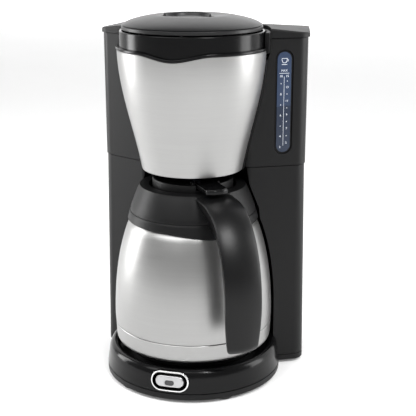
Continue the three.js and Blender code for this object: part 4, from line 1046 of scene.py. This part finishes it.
class BuildHousing(BuildOperator, bpy.types.Operator):
    """Builds the brew housing, its steel panel, the trim, the band and the frame behind it."""

    bl_idname = "coffee_maker.build_housing"
    bl_label = "Brew housing"

    def build(self):
        foot, top = PANEL_LOW.z, BAND_LOW.z - GAP
        profile = panel_profile()
        shell_out, shell_in = grown(profile, -1.4), grown(profile, -1.4 - WALL)
        top_radius = size("panel_top_radius")

        def below(line, low=0):
            return [(r, z) for r, z in line if low < z < top - 2]

        body = turned([(0, foot), *below(shell_out), (top_radius - 2, top), (0, top)])
        cheek_line = [(0, foot), *below(grown(profile, CHEEK)), (top_radius, top), (0, top)]
        cheeks = turned(cheek_line) & rear_half()
        room = turned([
            (0, foot + WALL), *below(shell_in, foot + WALL), (top_radius - 2 - WALL, top + 1),
            (0, top + 1)])
        housing = body + cheeks - room - disc(20, 190, 210, steps=64)
        place_piece("brew_housing", housing, "satin_black")

        inner = grown(list(reversed(profile)), -1)
        lip = [(profile[0][0] - 0.2, foot), (profile[0][0], foot + 0.35)]
        loop = [*lip, *profile[1:], *inner]
        panel = ring(loop, steps=96, arc=math.pi, begin=math.pi)
        high = PANEL_HIGH.z

        def waved(point):
            share = (point.z - foot) / (high - foot)
            z = foot + share * (high - dip(point.x) - foot)
            radius = point.xy.length
            moved = radius + at_height(profile, z) - at_height(profile, point.z)
            return Vector((point.x * moved / radius, point.y * moved / radius, z))

        place_piece("front_panel", panel.shaped(waved), "brushed_steel")

        out = top_radius + 0.8
        trim_line = eased([
            (65.4, high + 0.4), (out - 0.5, high + 0.4, 0.3), (out, high + 1.0, 0.4),
            (out, high + 2.8, 0.7), (65.4, high + 2.8)], 3)
        trim = ring(trim_line, steps=96, arc=math.pi, begin=math.pi)
        trim = trim.shaped(lambda p: Vector((p.x, p.y, p.z - dip(p.x))))
        place_piece("panel_trim", trim, "gloss_black")

        notch = tongue_room(20, 80, 321)
        inlet = inlet_bar(4.6, 0.3, 0.9)
        band = ring(eased([
            (65, 299.6), (65, BAND_HIGH.z, 0.9), (62.6, BAND_HIGH.z, 0.6), (62.6, 299.6)], 4))
        place_piece("collar_band", band - notch - inlet, "gloss_black")
        rim = ring(
            eased([(FRAME_RADIUS, 305.5), (FRAME_RADIUS, 323.4, 0.7), (66, 323.4, 0.5), (66, 305.5)], 3),
            steps=64, arc=math.pi)
        place_piece("rear_frame", (rim & rear_half()) - notch - inlet, "satin_black")


class BuildBasket(BuildOperator, bpy.types.Operator):
    """Builds the filter basket, the drip stop and the spray head."""

    bl_idname = "coffee_maker.build_basket"
    bl_label = "Filter basket"

    def build(self):
        outside = turned(eased([
            (0, 205), (15, 205, 1), (17, 217, 4), (53, 299, 5), (55, 313), (59, 313, 0.6), (59, 317, 0.8),
            (0, 317)], 4))
        inside = turned(eased([
            (0, 207.5), (13, 207.5, 1), (15, 217, 4), (51, 299, 5), (53, 318), (0, 318)], 4))
        inlet_notch = inlet_bar(4.6, 0.3, 0.9) + inlet_bar(4.6, 0.3, 0.9, INLET_Z + 6)
        basket = outside - inside - disc(6, 200, 210) - inlet_notch
        ribs = 12
        for k in range(ribs):
            angle = TURN * (k + 0.5) / ribs
            rib = prism([(15.5, 218), (51.6, 299), (50.2, 299), (14.2, 218)], -0.6, 0.6)
            stand = Matrix.Rotation(angle, 4, "Z") @ Matrix.Rotation(math.pi / 2, 4, "X")
            basket = basket + rib.moved(stand)
        place_piece("filter_basket", basket, "inner_plastic")
        valve = turned(eased([
            (0, 192.6), (9, 192.6, 0.6), (9, 194.6, 0.6), (3.4, 194.6), (3.4, 213.6), (10, 213.6),
            (9, 216.1, 0.6), (0, 216.1)], 3), SMALL)
        place_piece("drip_valve", valve, "inner_plastic", "drip_stop")
        place_piece("drip_spring", coil(6.6, 0.6, 195, 204.6, 4), "fixing_steel", crisp=60)
        head = disc(16, 307, 317, steps=64, edge=0.8) - disc(14, 308.6, 318, steps=64)
        for k in range(6):
            x, y = 9 * math.cos(k * math.pi / 3), 9 * math.sin(k * math.pi / 3)
            head = head - disc(1.6, 300, 312, x, y, 16)
        place_piece("spray_head", head - inlet_bar(4.4, 0.1, 0.3), "inner_plastic")


class BuildJug(BuildOperator, bpy.types.Operator):
    """Builds the thermal jug's steel walls, its liner, collar and band."""

    bl_idname = "coffee_maker.build_jug"
    bl_label = "Thermal jug"

    def build(self):
        wall = jug_profile()
        skin_out = [(73.7, 52.4), (74.1, 52.8), *wall[:-1], (59.6, 149), (55.3, 154.2), (54.3, 159.2)]
        shell = ring([*skin_out, *grown(skin_out, -1.2)[::-1]])
        place_piece("jug_shell", shell, "brushed_steel", "jug")
        heel = bent((67, 33.8), (72.1, 33.8), (73.6, 36.8), (73.6, 40), 8)
        cap = turned([
            (0, 35.8), (60, 35.8), (62, 33.8), *heel, (74.1, 51.6), (73.8, 52), (72.9, 52), (72.4, 41),
            (67, 36), (62, 37), (0, 37)])
        place_piece("jug_base_cap", cap, "brushed_steel", "jug")
        bowl = grown([p for p in jug_profile(14) if p[1] < 138], -7.2)
        out = eased([(0, 43.8), (55.3, 43.8, 4), (67.3, 53.8, 6), *bowl[1:], (36, 152, 5), (36, 178.5)], 4)
        inner = eased([
            (34.8, 178.5), (34.8, 151.4, 5), *grown(bowl[1:], -1.2)[::-1], (66.1, 54.4, 6), (54.7, 45, 4),
            (0, 45)], 4)
        place_piece("jug_liner", turned([*out, *inner]), "liner_steel", "jug")

        slope = bent((COLLAR_RADIUS, COLLAR_FOOT), (56.4, 168), (52.4, 178), (49.7, 183.2), 10)
        collar = ring([
            (58.2, 160.2), *slope[1:], (49.4, 184.1), (48.4, 184.5), (40.8, 184.5), (40, 183.9),
            (40, 179.5), (36.4, 177.5), (36.4, 160.2), (39, 160.2), (41, 175.5), (47, 179.5),
            (55.7, 160.2)])
        place_piece("jug_collar", collar, "satin_black", "jug")
        self.build_band()

    def build_band(self):
        """The band under the collar, which hangs down in a tongue below the handle."""
        edge, tongue, top = 152, 146.6, 159.8
        azimuth = sizes().handle_azimuth
        line = [(61.8, tongue), (60.8, edge), (58.9, top)]
        rows = 8
        heights = [edge + (top - edge) * k / rows for k in range(rows + 1)]
        outer = [(at_height(line, z), z) for z in heights]
        outer[0] = (outer[0][0] - 0.35, outer[0][1])
        outer.insert(1, (outer[0][0] + 0.35, edge + 0.4))
        outer[-1] = (outer[-1][0] - 0.4, top)
        band = ring([*outer, (55.7, top), (59.7, edge + 0.4)])

        def tongued(point):
            flat = point.xy
            across = flat.dot(Vector((math.cos(azimuth), math.sin(azimuth))))
            ahead = flat.dot(Vector((math.sin(azimuth), -math.cos(azimuth))))
            drop = (edge - tongue) * swell(1 - abs(across) / 46) if ahead > 0 else 0
            share = (top - point.z) / (top - edge)
            radius = flat.length
            moved = radius + 0.19 * drop * share
            return Vector((flat.x * moved / radius, flat.y * moved / radius, point.z - drop * share))

        place_piece("jug_band", band.shaped(tongued), "satin_black", "jug")


class BuildHandle(BuildOperator, bpy.types.Operator):
    """Builds the jug's handle: a crowned strap with a hollow flank, that grows out of the collar."""

    bl_idname = "coffee_maker.build_handle"
    bl_label = "Jug handle"

    lag = math.radians(2)  # the strap stands this much further round than the lever
    root, straight_foot = 60, 65.5  # where the arch begins, and where the strap's end begins
    middle = 98  # height at which the arch meets the straight strap
    width = 34.5
    screw_height = 172

    def stations(self):
        """Pairs of outer and inner points in (radius, height), with the width there."""
        reach, root, middle, wide = size("handle_reach"), self.root, self.middle, self.width
        pairs = []
        for k in range(5):
            share = k / 5
            pairs.append(((46 + 14 * share, 186.2 - 1.2 * swell(share)), (52 + 8 * share, 155), wide))
        for k in range(27):
            a = math.pi / 2 * (1 - k / 26)
            outer = (root + (reach - root) * math.cos(a), middle + 87 * math.sin(a))
            inner = (root + (reach - 75) * math.cos(a), middle + 57 * math.sin(a))
            pairs.append((outer, inner, wide))
        for k in range(1, 9):
            share = k / 8
            z = middle - (middle - self.straight_foot) * share
            pairs.append(((reach - share, z), (reach - 15 - share * 0.4, z), wide - 4.5 * share * share))
        for k in range(1, 9):
            a = math.pi / 2 * k / 8
            z = self.straight_foot - 7.5 * math.sin(a)
            half = 7.2 * (0.12 + 0.88 * math.cos(a))
            narrowing = 0.4 + 0.6 * math.sqrt(math.cos(a) + 1e-6)
            pairs.append(((reach - 8.3 + half, z), (reach - 8.3 - half, z), (wide - 4.5) * narrowing))
        return pairs

    def build(self):
        azimuth = sizes().handle_azimuth
        screw = Vector((math.sin(azimuth), -math.cos(azimuth), 0))
        azimuth += self.lag
        out = Vector((math.sin(azimuth), -math.cos(azimuth), 0))
        across = Vector((math.cos(azimuth), math.sin(azimuth), 0))
        handle = skin(self.sections(out, across, 0))
        root = skin(self.sections(out, across, 0.8)[:9])
        collar = self.collar_form(0)
        rim = (root & self.collar_form(0.9)) - collar
        lift = Vector((0, 0, self.screw_height))
        bore = rod(2.2, screw * 50 + lift, screw * 82 + lift)
        place_piece("jug_handle", handle - collar + rim - bore, "handle_black", "jug", crisp=40)

    def collar_form(self, grow):
        """Outside of the jug and its collar, which the strap's root stands on."""
        slope = [
            (76, 20), (76, 60), (61.2, 146), (60.9, 152), (59, 160), (56.6, 168), (52.6, 178),
            (49.9, 183.4), (49.9, 200)]
        return turned([(0, 20), *grown(slope, grow), (0, 200)])

    def sections(self, out, across, grow):
        """The strap's cross-sections: a crown outside, a lip on each edge, and a hollow flank."""
        rows = []
        for index, (outer, inner, width) in enumerate(self.stations()):
            start = out * outer[0] + Vector((0, 0, outer[1]))
            end = out * inner[0] + Vector((0, 0, inner[1]))
            way = (end - start).normalized()
            start, depth = start - way * grow / 2, (end - start).length + grow
            hollow = 0.44 - 0.3 * swell(index / 26)
            crown = min(3.4, depth * 0.3)
            lip = min(2.0, depth * 0.16)
            flange = crown + 1.15 * lip
            flank = depth - flange
            narrow = 0.955 - hollow
            half = [(a, crown * a * a) for a in (0, 0.2, 0.4, 0.6, 0.78, 0.9)]
            half += [
                (0.975, crown), (1.0, crown + 0.35 * lip), (0.99, crown + 0.8 * lip), (0.955, flange)]
            half += [
                (0.955 - hollow * swell(share), flange + flank * (0.02 + 0.74 * share))
                for share in (0.25, 0.5, 0.75, 1.0)]
            half += [
                (narrow * 0.97, flange + flank * 0.87), (narrow * 0.86, flange + flank * 0.965),
                (narrow * 0.62, depth), (narrow * 0.3, depth)]
            loop = half + [(0, depth)] + [(-u, d) for u, d in reversed(half[1:])]
            rows.append([start + way * d + across * (u * (width / 2 + grow)) for u, d in loop])
        return rows


class BuildJugLid(BuildOperator, bpy.types.Operator):
    """Builds the jug's lid, its thumb lever and its pour valve."""

    bl_idname = "coffee_maker.build_jug_lid"
    bl_label = "Jug lid"

    lever_half = 10.25

    def towards_handle(self, form):
        """Turns a form from the front to where the handle is."""
        return form.moved(Matrix.Rotation(sizes().handle_azimuth, 4, "Z"))

    def lever_bar(self, radius, half):
        """A bar on the lever's pin."""
        return rod(radius, (-half, LEVER_PIN_Y, LEVER_PIN_Z), (half, LEVER_PIN_Y, LEVER_PIN_Z))

    def build_lid(self):
        lid = turned(eased([
            (0, 165), (31, 165, 0.6), (31, 178.9), (37.5, 180.5), (37.5, 191, 1.2), (35, 191, 0.9),
            (33, 187, 1.2), (8, 185), (0, 185)], 3), 96)
        lid = lid - turned([(0, 164), (29, 164), (29, 180.5), (0, 180.5)], 96)
        slot = self.lever_half + GAP
        lid = lid - self.towards_handle(block(-slot, slot, -80, -21, 186.2, 200)) - disc(6, 150, 200)
        for side in TO_SIDES:
            x0, x1 = sorted((side * slot, side * (slot + 2.4)))
            lid = lid + self.towards_handle(block(x0, x1, -34, -28, 184.5, 192.8, 0.6))
        place_piece("jug_lid", lid - self.towards_handle(self.lever_bar(1.8, 15.5)), "satin_black", "jug_lid")
        place_piece("lever_pin", self.towards_handle(self.lever_bar(1.4, 12.4)), "fixing_steel", "jug_lid")

    def build_lever(self):
        half = self.lever_half
        outline = eased([
            (-half, -61.5, 4), (-4, -64.6, 9), (4, -64.6, 9), (half, -61.5, 4), (half, -24, 1.5),
            (-half, -24, 1.5)], 8, True)
        lever = prism(outline, 188.4, 192.9, 1.4, 0.8)
        for y in (-61, -58.5, -56):
            lever = lever - rod(0.7, (-6.5, y, 192.75), (6.5, y, 192.75), 16)
        lever = lever - self.lever_bar(1.8, 12)
        place_piece("thumb_lever", self.towards_handle(lever), "gloss_black", "lever")

    def build(self):
        self.build_lid()
        self.build_lever()
        valve = turned(eased([
            (0, 160.5), (27, 160.5, 0.8), (29, 162.5, 0.6), (29, 164.5, 0.5), (2.5, 164.5), (2.5, 183.5),
            (0, 183.5)], 3), 64)
        place_piece("pour_valve", valve, "inner_plastic", "pour_valve")
        place_piece("valve_spring", coil(8, 0.6, 164.9, 180.1, 4), "fixing_steel", "jug_lid", crisp=60)


class FinishFrame(BuildOperator, bpy.types.Operator):
    """Gives the CAD pieces that stay visible their finishes."""

    bl_idname = "coffee_maker.finish_frame"
    bl_label = "Finishes of the frame"

    def build(self):
        for row in frame["record"]["subparts"]:
            node = frame["nodes"][row["node"]]
            if not node.hide_render:
                node.data.materials.clear()
                node.data.materials.append(finish_of(row["material_slot"]))


class BuildStage(BuildOperator, bpy.types.Operator):
    """Builds the pale floor, the soft lights and the camera."""

    bl_idname = "coffee_maker.build_stage"
    bl_label = "Stage"

    def area(self, name, place, target, wide, high, power):
        """A soft rectangular light."""
        light = bpy.data.lights.new(name, "AREA")
        light.shape, light.size, light.size_y, light.energy = "RECTANGLE", wide, high, power
        lamp = put_in_scene(name, light)
        lamp.location = place
        lamp.rotation_euler = (Vector(target) - Vector(place)).to_track_quat("-Z", "Y").to_euler()

    def plane(self, name, reach, place, glow):
        """A pale surface that belongs to the stage."""
        bm = bmesh.new()
        bmesh.ops.create_grid(bm, x_segments=4, y_segments=4, size=reach / 2, matrix=place)
        mesh = bpy.data.meshes.new(name)
        bm.to_mesh(mesh)
        bm.free()
        screen = put_in_scene(name, mesh)
        paint = Finish(
            name, Roughness=0.9, Specular_IOR_Level=0.1, Emission_Color=(1, 1, 1, 1),
            Emission_Strength=glow)
        mottle = paint.noise(3, 2, 0.5)
        paint.feed("Base Color", paint.blend(mottle, (0.86, 0.86, 0.86, 1), (0.88, 0.88, 0.88, 1)))
        mesh.materials.append(paint.material)

    def build(self):
        self.plane("floor", 8, Matrix.Identity(4), 0.12)
        upright = Matrix.Translation((0, 3, 0)) @ Matrix.Rotation(math.pi / 2, 4, "X")
        self.plane("backdrop", 12, upright, 1.0)

        world = bpy.data.worlds.new("studio")
        world.use_nodes = True
        sky = world.node_tree.nodes["Background"]
        sky.inputs["Color"].default_value = (1, 1, 1, 1)
        sky.inputs["Strength"].default_value = 0.36
        bpy.context.scene.world = world
        bpy.context.scene.view_settings.view_transform = "Standard"

        middle = (0, 0, 0.17)
        self.area("key", (-0.5, -0.9, 1.25), middle, 1.3, 1.0, 14)
        self.area("left", (-1.15, 0.05, 0.4), middle, 0.35, 0.8, 9)
        self.area("right", (1.15, 0.3, 0.4), middle, 0.45, 0.8, 7.5)
        self.area("soft_right", (0.6, -0.66, 1.05), middle, 0.34, 0.42, 11)

        tilt, swing, distance = math.radians(16.1), math.radians(14.5), 0.9079
        aim_height, aim_right = 0.1596, 0.01404
        away = Vector((
            math.sin(swing) * math.cos(tilt), -math.cos(swing) * math.cos(tilt), math.sin(tilt)))
        to_right = Vector((math.cos(swing), math.sin(swing), 0))
        target = Vector((0, AXIS_Y * MM, aim_height)) + to_right * aim_right
        lens = bpy.data.cameras.new("camera")
        lens.lens, lens.sensor_width = 84, 36
        camera = put_in_scene("camera", lens)
        camera.location = target + away * distance
        camera.rotation_mode = "QUATERNION"
        camera.rotation_quaternion = (-away).to_track_quat("-Z", "Y")
        bpy.context.scene.camera = camera


BUILDERS = (
    BuildBase, BuildSwitch, BuildColumn, BuildTank, BuildCap, BuildLid, BuildHousing, BuildBasket, BuildJug,
    BuildHandle, BuildJugLid, FinishFrame, BuildStage)


class CoffeeMakerPanel(bpy.types.Panel):
    """Lists the coffee maker's sizes, colours and builders."""

    bl_idname = "VIEW3D_PT_coffee_maker"
    bl_label = "Coffee maker"
    bl_space_type = "VIEW_3D"
    bl_region_type = "UI"
    bl_category = "Coffee maker"

    def draw(self, context):
        column = self.layout.column()
        for group in (context.scene.coffee_maker_sizes, context.scene.coffee_maker_colours):
            for name in group.__annotations__:
                column.prop(group, name)
        for builder in BUILDERS:
            column.operator(builder.bl_idname)


CLASSES = (CoffeeMakerSizes, CoffeeMakerColours, *BUILDERS, CoffeeMakerPanel)


def register():
    for one in CLASSES:
        bpy.utils.register_class(one)
    bpy.types.Scene.coffee_maker_sizes = PointerProperty(type=CoffeeMakerSizes)
    bpy.types.Scene.coffee_maker_colours = PointerProperty(type=CoffeeMakerColours)


def unregister():
    del bpy.types.Scene.coffee_maker_colours
    del bpy.types.Scene.coffee_maker_sizes
    for one in reversed(CLASSES):
        bpy.utils.unregister_class(one)


def main():
    register()
    for builder in BUILDERS:
        group, name = builder.bl_idname.split(".")
        getattr(getattr(bpy.ops, group), name)()


if __name__ == "__main__":
    main()
